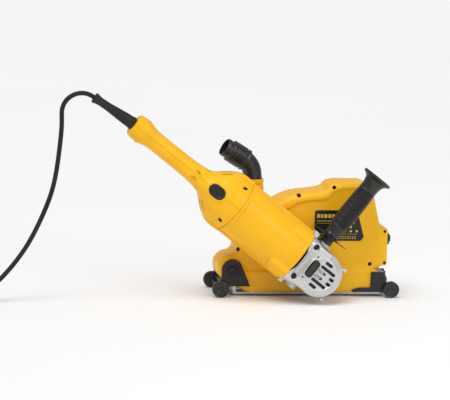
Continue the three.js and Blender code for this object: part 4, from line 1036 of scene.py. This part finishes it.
def shape_strain_relief():
    profile = [(0, -6), (8.6, -6), (8.6, 0.4), (11.2, 0.8), (11.6, 1.6), (11.6, 5), (11.0, 7)]
    for k in range(28):
        x = 8 + k * 2.0
        base = 11.0 - 3.5 * ease(x, 6, 66)
        profile.append((base - (0.32 if k % 2 else 0.0), x))
    profile += [(7.5, 64.5), (7.3, 70), (7.6, 74), (8.6, 79), (9.7, 83), (9.8, 84.2), (9.0, 85), (5, 85),
                (4.5, 84.4),
                (4.5, 70), (0, 70)]
    sleeve = turned([(r, x) for r, x in profile], "X", (0, 0), 72)
    sleeve.transform(Matrix.Translation((HANDLE_END, 0, 0)) @ Matrix.Rotation(GUARD_DROOP, 4, "Y"))
    return sleeve


# -- Side handle --

def shape_grip():
    """The grip, with crossed fine ridges worked into its surface."""
    start, end = 65.7, 201.6
    shape = [(65.7, 13.0), (67, 14.0), (72, 12.9), (78, 13.4), (84, 15.2), (92, 17.0), (104, 17.7),
             (130, 17.9),
             (152, 17.6), (168, 16.6), (176, 16.4), (184, 17.2), (190, 19.0), (194, 22.0), (196, 26.4),
             (196.8, 28.2), (200.6, 28.4), (201.6, 27.6)]
    ridges = bpy.context.scene.chaser_sizes.grip_ridges
    places = stations((start, 84, 1.5), (84, 174, 0.62), (174, 196, 1.6), (196, end, 0.6))
    rings = []
    for z in places:
        at = max(i for i in range(len(shape)) if shape[i][0] <= z + 1e-6)
        (z0, r0), (z1, r1) = shape[at], shape[min(at + 1, len(shape) - 1)]
        radius = r0 + (r1 - r0) * ((z - z0) / (z1 - z0) if z1 > z0 else 0)
        cover = ease(z, 85, 90) - ease(z, 168, 173)
        phase = 2 * math.pi * ridges * (z - 85) / 88
        ring = []
        for k in range(144):
            angle = 2 * math.pi * k / 144
            r = radius + cover * (0.7 * math.cos(phase) + 0.3 * math.cos(18 * angle) * math.cos(phase / 2))
            ring.append((SIDE_AXIS[0] + r * math.cos(angle), SIDE_AXIS[1] + r * math.sin(angle), z))
        rings.append(ring)
    rings += [[(SIDE_AXIS[0] + r * math.cos(2 * math.pi * k / 144),
                SIDE_AXIS[1] + r * math.sin(2 * math.pi * k / 144), z)
               for k in range(144)] for r, z in ((23, 201.8), (20, 200.9), (6, 200.4))]
    return loft(rings)


def shape_guard():
    profile = [(5.4, 61.3), (13.4, 61.3), (16, 62.2), (22, 62.8), (36, 63.1), (37, 63.5), (37, 64.1),
               (36, 64.5),
               (22, 64.8), (16, 65.2), (14.5, 65.5), (5.4, 65.5)]
    return turned(profile, "Z", SIDE_AXIS, 96, True)


def shape_guard_collar():
    profile = [(5.6, 50.2), (10.6, 50.2), (11.4, 51), (11.4, 58), (10.6, 59), (10.6, 60), (11.4, 61.2),
               (5.6, 61.2)]
    return turned(profile, "Z", SIDE_AXIS, 64, True)


# -- Base --

def shape_rear_bracket():
    """The near rear bracket: a cheek round the pivot with a leg to the rear axle."""
    cheek = slab([(-110, 19), *arc(PIVOT, DRUM_RADIUS - 0.5, 40, 180, 24), (-162.5, 19)], -BRACKET_OUT,
                 -BRACKET_IN, "Y",
                 1.4, 0.8)
    leg = slab(rounded([(-170, 20), (-165.5, 7.5), (-145, 19.5), (-161.5, 36)], [4, 4, 3, 4]), -BRACKET_OUT,
               -BRACKET_IN,
               "Y", 1.0, 0.8)
    boss = turned([(0, -BRACKET_OUT), (7.5, -BRACKET_OUT), (7.5, -BRACKET_IN), (0, -BRACKET_IN)], "Y",
                  REAR_AXLE, 40)
    ring = turned([(13.2, -BRACKET_OUT - 0.1), (14.6, -BRACKET_OUT - 0.1), (14.6, -BRACKET_OUT + 0.9),
                   (13.2, -BRACKET_OUT + 0.9)], "Y", PIVOT, 48, True)
    seat = turned([(0, -BRACKET_OUT - 1), (9.4, -BRACKET_OUT - 1), (9.4, -BRACKET_OUT + 1.3),
                   (0, -BRACKET_OUT + 1.3)],
                  "Y", PIVOT, 40)
    holes = [rod((PIVOT[0], -60, PIVOT[1]), (PIVOT[0], -30, PIVOT[1]), 4.3),
             rod((REAR_AXLE[0], -60, REAR_AXLE[1]), (REAR_AXLE[0], -30, REAR_AXLE[1]), 3.3)]
    return moulded(carve(join(cheek, leg, boss), ring, seat, *holes), 0.6, 4)


def shape_front_bracket():
    """The near front bracket: a block with a long thin foot and a leg to the front axle."""
    plate = block(114.6, 139.2, -BRACKET_OUT, -BRACKET_IN, 9, 46, 2.2)
    foot = slab(rounded([(79.6, 9), (118, 9), (118, 17), (92, 17), (79.6, 13)], [1.5, 0, 0, 4, 2]),
                -BRACKET_OUT,
                -BRACKET_IN, "Y", 0.8, 0.8)
    leg = slab(rounded([(131, 9), (150.5, 7.5), (150.5, 22.5), (137.2, 32), (131, 32)], [2, 3, 3, 4, 1]),
               -BRACKET_OUT,
               -BRACKET_IN, "Y", 0.8, 0.8)
    boss = turned([(0, -BRACKET_OUT), (7.5, -BRACKET_OUT), (7.5, -BRACKET_IN), (0, -BRACKET_IN)], "Y",
                  FRONT_AXLE, 40)
    hollow = block(118.5, 134, -BRACKET_OUT - 2, -BRACKET_OUT + 1.0, 14, 41, 2.0)
    hole = rod((FRONT_AXLE[0], -60, FRONT_AXLE[1]), (FRONT_AXLE[0], -30, FRONT_AXLE[1]), 3.3)
    return moulded(carve(join(plate, foot, leg, boss), hollow, hole), 0.6, 4)


def shape_roller(axle):
    """A roller on the near side, with a dished face, a hub and spoke marks."""
    low, high = -ROLLER_OUT, -ROLLER_IN
    profile = [(3.3, low + 0.8), (5.6, low), (6.6, low + 0.6), (7.0, low + 1.6), (11.6, low + 1.3),
               (12.2, low + 0.5),
               (13.6, low), (14.7, low + 0.5), (15, low + 1.4), (15, high - 1.4), (14.6, high - 0.4),
               (13.6, high),
               (6, high), (5.6, high + 0.3), (3.3, high + 0.3)]
    wheel = turned(profile, "Y", axle, 96, True)
    marks = [rod((axle[0] + 9.3 * math.cos(a), low - 1, axle[1] + 9.3 * math.sin(a)),
                 (axle[0] + 9.3 * math.cos(a), low + 2.1, axle[1] + 9.3 * math.sin(a)), 1.0, 16)
             for a in (math.radians(60 * k + 15) for k in range(6))]
    return carve(wheel, *marks)


def shape_axle(axle):
    out = ROLLER_OUT + 1
    return turned([(0, -out), (2.4, -out), (3, -out + 0.6), (3, out - 0.6), (2.4, out), (0, out)], "Y", axle,
                  40)


def shape_pivot_bolt():
    head = BRACKET_OUT + 0.3
    profile = [(0, -head - 3.4), (5.2, -head - 3.4), (6.2, -head - 2.6), (6.4, -head - 1.8), (6.4, -head),
               (4, -head),
               (4, head), (6.4, head), (6.4, head + 1.8), (6.2, head + 2.6), (5.2, head + 3.4),
               (0, head + 3.4)]
    bolt = turned(profile, "Y", PIVOT, 48)
    sockets = [slab([(PIVOT[0] + 3 * math.cos(math.radians(a)), PIVOT[1] + 3 * math.sin(math.radians(a)))
                     for a in range(0, 360, 60)], *span, "Y")
               for span in ((-head - 5, -head - 1.2), (head + 1.2, head + 5))]
    return carve(bolt, *sockets)


def shape_knob():
    lobes = [((9.0 - 1.3 + 1.3 * math.cos(5 * a)) * math.cos(a),
              36.5 + (9.0 - 1.3 + 1.3 * math.cos(5 * a)) * math.sin(a))
             for a in (2 * math.pi * k / 90 for k in range(90))]
    head = slab(lobes, 139.5, 148.5, "X", 1.2, 2.0)
    hub = turned([(0, 147), (5, 147), (5, 149.4), (4.4, 150), (0, 150)], "X", (0, 36.5), 40)
    return join(head, hub, rod((124, 0, 36.5), (140, 0, 36.5), 3.0, 24))


def shape_depth_pointer():
    plate = block(144.9, 147.2, -34, -22, 96, 116, 0.8)
    grip = block(146.4, 150, -32.4, -23.6, 101, 113, 1.6)
    ridges = [block(149.2, 150.4, -31.5, -24.5, z, z + 1.2, 0.4) for z in (103, 106, 109)]
    return join(plate, grip, *ridges)


def shape_screw(radius, depth=2.2):
    """A round screw head with a six-lobed socket, standing on Z."""
    head = turned([(0, -6), (radius * 0.5, -6), (radius * 0.5, -depth), (radius, -depth), (radius, -0.6),
                   (radius * 0.86, 0), (0, 0)], "Z", (0, 0), 28)
    star = [((0.5 + 0.07 * math.cos(6 * a)) * radius * math.cos(a), (0.5 + 0.07 * math.cos(6 * a)) * radius
             * math.sin(a))
            for a in (2 * math.pi * k / 36 for k in range(36))]
    return carve(head, slab(star, -1.4, 2, "Z"))


# ==== Settings that a user would change ====

class ChaserColours(bpy.types.PropertyGroup):
    """Base colours of the finishes."""

    yellow: FloatVectorProperty(name="Yellow", description="Housing plastic", subtype="COLOR",
                                default=(0.93, 0.50, 0.012), min=0, max=1)
    yellow_deep: FloatVectorProperty(name="Deep yellow",
                                     description="Where the housing plastic drifts darker",
                                     subtype="COLOR", default=(0.88, 0.455, 0.010), min=0, max=1)
    yellow_pale: FloatVectorProperty(name="Pale yellow", description="Housing plastic on handled edges",
                                     subtype="COLOR", default=(0.98, 0.62, 0.07), min=0, max=1)
    charcoal: FloatVectorProperty(name="Charcoal", description="Painted frame parts", subtype="COLOR",
                                  default=(0.028, 0.028, 0.029), min=0, max=1)
    charcoal_deep: FloatVectorProperty(name="Deep charcoal", description="Painted frame parts, darker drift",
                                       subtype="COLOR", default=(0.018, 0.018, 0.019), min=0, max=1)
    charcoal_worn: FloatVectorProperty(name="Worn charcoal", description="Frame paint rubbed at its edges",
                                       subtype="COLOR", default=(0.10, 0.10, 0.10), min=0, max=1)
    alloy: FloatVectorProperty(name="Alloy", description="Cast gearcase", subtype="COLOR",
                               default=(0.66, 0.655, 0.65), min=0, max=1)
    alloy_deep: FloatVectorProperty(name="Deep alloy", description="Gearcase, darker drift", subtype="COLOR",
                                    default=(0.56, 0.56, 0.56), min=0, max=1)
    alloy_pale: FloatVectorProperty(name="Pale alloy", description="Metal polished at its edges",
                                    subtype="COLOR",
                                    default=(0.82, 0.82, 0.82), min=0, max=1)
    steel: FloatVectorProperty(name="Steel", description="Screws and spindle parts", subtype="COLOR",
                               default=(0.46, 0.46, 0.47), min=0, max=1)
    steel_deep: FloatVectorProperty(name="Deep steel", description="Steel, darker drift", subtype="COLOR",
                                    default=(0.32, 0.32, 0.33), min=0, max=1)
    black: FloatVectorProperty(name="Black", description="Black plastic and rubber", subtype="COLOR",
                               default=(0.012, 0.012, 0.013), min=0, max=1)
    black_soft: FloatVectorProperty(name="Soft black", description="Black, paler drift", subtype="COLOR",
                                    default=(0.020, 0.020, 0.021), min=0, max=1)
    black_worn: FloatVectorProperty(name="Worn black", description="Black plastic on handled edges",
                                    subtype="COLOR",
                                    default=(0.055, 0.055, 0.055), min=0, max=1)
    copper: FloatVectorProperty(name="Copper", description="Windings", subtype="COLOR",
                                default=(0.60, 0.24, 0.10), min=0, max=1)
    copper_deep: FloatVectorProperty(name="Deep copper", description="Windings, darker drift",
                                     subtype="COLOR",
                                     default=(0.40, 0.14, 0.06), min=0, max=1)
    brass: FloatVectorProperty(name="Brass", description="Bushes and brush holders", subtype="COLOR",
                               default=(0.62, 0.44, 0.16), min=0, max=1)
    brass_deep: FloatVectorProperty(name="Deep brass", description="Brass, darker drift", subtype="COLOR",
                                    default=(0.48, 0.33, 0.11), min=0, max=1)
    dust: FloatVectorProperty(name="Dust", description="Masonry dust", subtype="COLOR",
                              default=(0.74, 0.71, 0.66), min=0, max=1)


class ChaserSizes(bpy.types.PropertyGroup):
    """Sizes of the details that stand on the frame's own shapes."""

    roof_border: FloatProperty(name="Roof border",
                               description="How far the roof's border stands proud of the face",
                               default=0.0022, min=0.0005, max=0.004, unit="LENGTH")
    casting_step: FloatProperty(name="Shell step", description="Face size of the remade shroud shells",
                                default=0.0013, min=0.0008, max=0.003, unit="LENGTH")
    grip_ridges: IntProperty(name="Grip ridges", description="Fine ridges along the side handle's grip",
                             default=30, min=8, max=60)


class ChaserStage(bpy.types.PropertyGroup):
    """The studio around the machine."""

    key_strength: FloatProperty(name="Key light",
                                description="Strength of the soft light from the upper left",
                                default=1.9, min=0)
    fill_power: FloatProperty(name="Fill light", description="Power of the light beside the camera",
                              default=9.0,
                              min=0, unit="POWER")
    sky: FloatProperty(name="Sky", description="Strength of the even light from all round", default=0.46,
                       min=0, max=3)
    floor_colour: FloatVectorProperty(name="Floor", description="Colour of the pale floor", subtype="COLOR",
                                      default=(0.97, 0.97, 0.97), min=0, max=1)


# ==== Operators: the stage and one for each piece or group of like pieces ====

def add_light(name, kind, place, aim, strength, **settings):
    light = bpy.data.lights.new(name, kind)
    light.energy = strength
    for setting, value in settings.items():
        setattr(light, setting, value)
    lamp = bpy.data.objects.new(name, light)
    lamp.location = place
    lamp.rotation_euler = (Vector(aim) - Vector(place)).to_track_quat("-Z", "Y").to_euler()
    bpy.context.scene.collection.objects.link(lamp)


class CHASER_OT_stage(bpy.types.Operator):
    """Sets the camera, the lights and the pale floor"""

    bl_idname = "chaser.stage"
    bl_label = "Stage"

    def execute(self, context):
        scene, stage = context.scene, context.scene.chaser_stage
        turn, lift, roll = (math.radians(a) for a in (-9.99, 8.72, 1.96))
        back = Vector((math.sin(turn) * math.cos(lift), -math.cos(turn) * math.cos(lift), math.sin(lift)))
        level = Vector((math.cos(turn), math.sin(turn), 0))
        upright = back.cross(level)
        right = level * math.cos(roll) + upright * math.sin(roll)
        up = upright * math.cos(roll) - level * math.sin(roll)
        lens = bpy.data.cameras.new("camera")
        lens.lens, lens.sensor_width, lens.clip_end = 222.1, 36.0, 50.0
        camera = bpy.data.objects.new("camera", lens)
        camera.matrix_world = Matrix.Translation(Vector((-0.0373, 0, 0.1774)) + back * 5.0) @ Matrix(
            (right, up, back)).transposed().to_4x4()
        scene.collection.objects.link(camera)
        scene.camera = camera
        scene.view_settings.view_transform = "Standard"
        world = bpy.data.worlds.new("studio")
        world.use_nodes = True
        world.node_tree.nodes["Background"].inputs["Color"].default_value = (1, 1, 1, 1)
        world.node_tree.nodes["Background"].inputs["Strength"].default_value = stage.sky
        scene.world = world
        add_light("key", "SUN", (-0.8, -1.1, 2.6), (0, 0, 0), stage.key_strength, angle=math.radians(38))
        add_light("fill", "AREA", (1.3, -1.9, 1.0), (0.05, 0, 0.12), stage.fill_power, shape="DISK", size=1.0)
        paper = bpy.data.materials.new("floor_paper")
        paper.use_nodes = True
        drift = add_group(paper.node_tree, "colour_drift",
                          {"Colour": (*stage.floor_colour, 1),
                           "Towards": (*(c * 0.985 for c in stage.floor_colour), 1),
                           "Spread": 0.8})
        shader = paper.node_tree.nodes["Principled BSDF"]
        paper.node_tree.links.new(drift.outputs["Colour"], shader.inputs["Base Color"])
        shader.inputs["Roughness"].default_value = 0.7
        mesh = slab(arc((0, 0), 9.0, 0, 352, 44), -0.02, 0.0, "Z")
        mesh.name = "floor"
        mesh.materials.append(paper)
        floor = bpy.data.objects.new("floor", mesh)
        scene.collection.objects.link(floor)
        return {"FINISHED"}


class CHASER_OT_cord(bpy.types.Operator):
    """Lays the mains cord from the strain relief to its coil, with the plug on its end"""

    bl_idname = "chaser.cord"
    bl_label = "Cord and plug"

    def execute(self, context):
        path = cord_path()
        cord = add_piece("mains_cord", tube(path, CORD_RADIUS, 14), MACHINE, None,
                         finish("cord_rubber"))
        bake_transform(cord)
        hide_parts("cord_tube", "cord_coil")
        body, pins = shape_plug()
        plug = add_piece("plug_body", body, MACHINE, "base", finish("black_plastic"),
                         ["cord_plug"])
        prongs = add_piece("plug_pins", pins, MACHINE, "base", finish("brass"))
        return {"FINISHED"}


class CHASER_OT_shroud(bpy.types.Operator):
    """Builds the two shroud shells, the label, the dust collar and the depth pointer"""

    bl_idname = "chaser.shroud"
    bl_label = "Dust shroud"

    def execute(self, context):
        yellow = finish("yellow_plastic")
        for side, near in (("near", True), ("far", False)):
            add_piece(f"shroud_cover_{side}", shape_shroud_shell(near), MACHINE, "head",
                      yellow,
                      [f"shroud_shell_{side}"], 50)
        plate, marks = shape_label()
        add_piece("label_face", plate, MACHINE, "head", finish("label_black"), ["label_plate"])
        add_piece("label_marks", marks, MACHINE, "head",
                  plain_mark("label_ink", (0.80, 0.50, 0.06)))
        add_piece("collar_ring", shape_dust_collar(), MACHINE, "head", yellow,
                  ["dust_collar"])
        add_piece("depth_slider", shape_depth_pointer(), MACHINE, "head",
                  finish("black_plastic"),
                  ["depth_pointer"])
        for k, (x, z, y) in enumerate(((-24, 185, -31), (40.5, 200.5, -30), (-133, 86, -36), (112, 60, -36))):
            screw = shape_screw(3.4)
            screw.transform(Matrix.Translation((x, y, z)) @ Matrix.Rotation(math.pi / 2, 4, "X"))
            add_piece(f"shroud_screw_{k + 1}", screw, MACHINE, "head", finish("frame_paint"))
        for k, z in enumerate((119.6, 61.5)):
            screw = shape_screw(2.8)
            screw.transform(Matrix.Translation(((138.6, 140.4)[k], -28, z)) @ Matrix.Rotation(math.pi / 2, 4,
                    "X"))
            add_piece(f"flange_screw_{k + 1}", screw, MACHINE, "head", finish("frame_paint"))
        return {"FINISHED"}


class CHASER_OT_elbow(bpy.types.Operator):
    """Builds the swivelling dust elbow and its hose adapter"""

    bl_idname = "chaser.elbow"
    bl_label = "Dust elbow"

    def execute(self, context):
        black = finish("black_plastic")
        add_piece("elbow_pipe", shape_elbow(), MACHINE, "elbow", black, ["dust_elbow"])
        add_piece("adapter_sleeve", shape_adapter(), MACHINE, "elbow", black,
                  ["hose_adapter"])
        return {"FINISHED"}


class CHASER_OT_gearcase(bpy.types.Operator):
    """Builds the cast gearcase with its grille, lock button and screws, and a dark plate of painted shade under
    the grille
    """

    bl_idname = "chaser.gearcase"
    bl_label = "Gearcase"

    def execute(self, context):
        add_piece("gearcase_casting", shape_gearcase(), GRINDER, "head",
                  finish("gearcase_alloy"),
                  ["gearcase"], 45)
        add_piece("lock_cap", shape_lock_button(), GRINDER, "spindle_lock",
                  finish("black_plastic"),
                  ["spindle_lock_button"])
        # The black plate under the grille is painted shade, so that the slots read dark.
        add_piece("grille_screen", shape_grille_shade_plate(), GRINDER, "head",
                  finish("black_plastic"))
        for k, z in enumerate((-31, 34.5)):
            screw = shape_screw(4.6)
            screw.transform(Matrix.Translation((36.6, 33, z)) @ Matrix.Rotation(-math.pi / 2, 4, "X"))
            add_piece(f"gearcase_screw_{k + 1}", screw, GRINDER, "head",
                      finish("black_plastic"))
        return {"FINISHED"}


class CHASER_OT_motor(bpy.types.Operator):
    """Builds the motor housing"""

    bl_idname = "chaser.motor"
    bl_label = "Motor housing"

    def execute(self, context):
        add_piece("housing_barrel", shape_housing(), GRINDER, "head",
                  finish("yellow_plastic"),
                  ["motor_housing"], 50)
        return {"FINISHED"}


class CHASER_OT_handle(bpy.types.Operator):
    """Builds the clamshell rear handle with its buttons, screws and strain relief"""

    bl_idname = "chaser.handle"
    bl_label = "Rear handle"

    def execute(self, context):
        black = finish("black_plastic")
        for side, name in ((1, "upper"), (-1, "lower")):
            add_piece(f"handle_half_{name}", shape_handle_half(side), GRINDER, "head",
                      finish("yellow_plastic"), [f"handle_shell_{name}"], 50)
            well = Vector((0.75, 0.62, side * 0.22)).normalized()
            screw = shape_screw(3.3)
            screw.transform(Matrix.Translation(Vector((205, 34, side * 35.5)) - well * 3)
                            @ well.to_track_quat("Z", "Y").to_matrix().to_4x4())
            add_piece(f"shoulder_screw_{name}", screw, GRINDER, "head", finish("frame_paint"))
        for k, (x, y) in enumerate(((272, 12), (408, 11), (408, -11))):
            screw = shape_screw(2.9)
            screw.transform(Matrix.Translation((x, y, -11.5)) @ Matrix.Rotation(math.pi, 4, "X"))
            add_piece(f"handle_screw_{k + 1}", screw, GRINDER, "head", finish("steel"))
        add_piece("switch_lock_cap", shape_switch_lock(), GRINDER, "switch_lock", black,
                  ["switch_lock_button"])
        add_piece("trigger_lever", shape_trigger(), GRINDER, "trigger", black, ["trigger"],
                  60)
        add_piece("cord_guard", shape_strain_relief(), GRINDER, "head", finish("grip_rubber"),
                  ["strain_relief"])
        return {"FINISHED"}


class CHASER_OT_side_handle(bpy.types.Operator):
    """Builds the side handle's grip, guard disc and collar"""

    bl_idname = "chaser.side_handle"
    bl_label = "Side handle"

    def execute(self, context):
        black = finish("black_plastic")
        add_piece("grip_sleeve", shape_grip(), GRINDER, "head", black, ["side_handle_grip"],
                  60)
        add_piece("guard_disc", shape_guard(), GRINDER, "head", black, ["side_handle_guard"])
        add_piece("guard_collar", shape_guard_collar(), GRINDER, "head", black)
        return {"FINISHED"}


class CHASER_OT_base(bpy.types.Operator):
    """Builds the brackets, rollers, axles, pivot bolt and depth knob of the base"""

    bl_idname = "chaser.base"
    bl_label = "Roller base"

    def execute(self, context):
        paint, black = finish("frame_paint"), finish("black_plastic")
        for name, shape in (("rear", shape_rear_bracket), ("front", shape_front_bracket)):
            near = shape()
            far = mirrored(near, "Y")
            add_piece(f"{name}_cheek_near", near, MACHINE, "base", paint,
                      [f"{name}_bracket_near"], 60)
            add_piece(f"{name}_cheek_far", far, MACHINE, "base", paint,
                      [f"{name}_bracket_far"], 60)
        for name, axle in (("rear", REAR_AXLE), ("front", FRONT_AXLE)):
            near = shape_roller(axle)
            far = mirrored(near, "Y")
            add_piece(f"{name}_wheel_near", near, MACHINE, f"{name}_roller_near", black,
                      [f"{name}_roller_near"])
            add_piece(f"{name}_wheel_far", far, MACHINE, f"{name}_roller_far", black,
                      [f"{name}_roller_far"])
            add_piece(f"{name}_axle_rod", shape_axle(axle), MACHINE, "base", paint,
                      [f"{name}_axle"])
        add_piece("pivot_screw", shape_pivot_bolt(), MACHINE, "base", paint, ["pivot_bolt"])
        add_piece("depth_knob_head", shape_knob(), MACHINE, "depth_knob", black,
                  ["depth_lock_knob"])
        return {"FINISHED"}


class CHASER_OT_inner_parts(bpy.types.Operator):
    """Gives every part of the frame that still shows its own finish"""

    bl_idname = "chaser.inner_parts"
    bl_label = "Inner parts"

    def execute(self, context):
        slots = {row["node"]: row["material_slot"] for row in frame["record"]["subparts"]}
        for name, node in frame["nodes"].items():
            if not node.hide_render:
                node.data.materials.clear()
                node.data.materials.append(finish("steel" if name == "sole_plate" else slots[name]))
        return {"FINISHED"}


STEPS = ("stage", "cord", "shroud", "elbow", "gearcase", "motor", "handle", "side_handle", "base",
         "inner_parts")


class CHASER_PT_panel(bpy.types.Panel):
    """Lists the settings and the pieces"""

    bl_idname = "CHASER_PT_panel"
    bl_label = "Wall chaser"
    bl_space_type = "VIEW_3D"
    bl_region_type = "UI"
    bl_category = "Chaser"

    def draw(self, context):
        column = self.layout.column()
        for step in STEPS:
            column.operator(f"chaser.{step}")
        for settings in (context.scene.chaser_sizes, context.scene.chaser_stage,
                         context.scene.chaser_colours):
            column.separator()
            for name in settings.__annotations__:
                column.prop(settings, name)


CLASSES = (ChaserColours, ChaserSizes, ChaserStage, CHASER_OT_stage, CHASER_OT_cord, CHASER_OT_shroud,
           CHASER_OT_elbow, CHASER_OT_gearcase, CHASER_OT_motor, CHASER_OT_handle, CHASER_OT_side_handle,
           CHASER_OT_base, CHASER_OT_inner_parts, CHASER_PT_panel)


def register():
    for item in CLASSES:
        bpy.utils.register_class(item)
    bpy.types.Scene.chaser_colours = PointerProperty(type=ChaserColours)
    bpy.types.Scene.chaser_sizes = PointerProperty(type=ChaserSizes)
    bpy.types.Scene.chaser_stage = PointerProperty(type=ChaserStage)


def unregister():
    for name in ("chaser_stage", "chaser_sizes", "chaser_colours"):
        delattr(bpy.types.Scene, name)
    for item in reversed(CLASSES):
        bpy.utils.unregister_class(item)


def main():
    register()
    for step in STEPS:
        getattr(bpy.ops.chaser, step)()


if __name__ == "__main__":
    main()
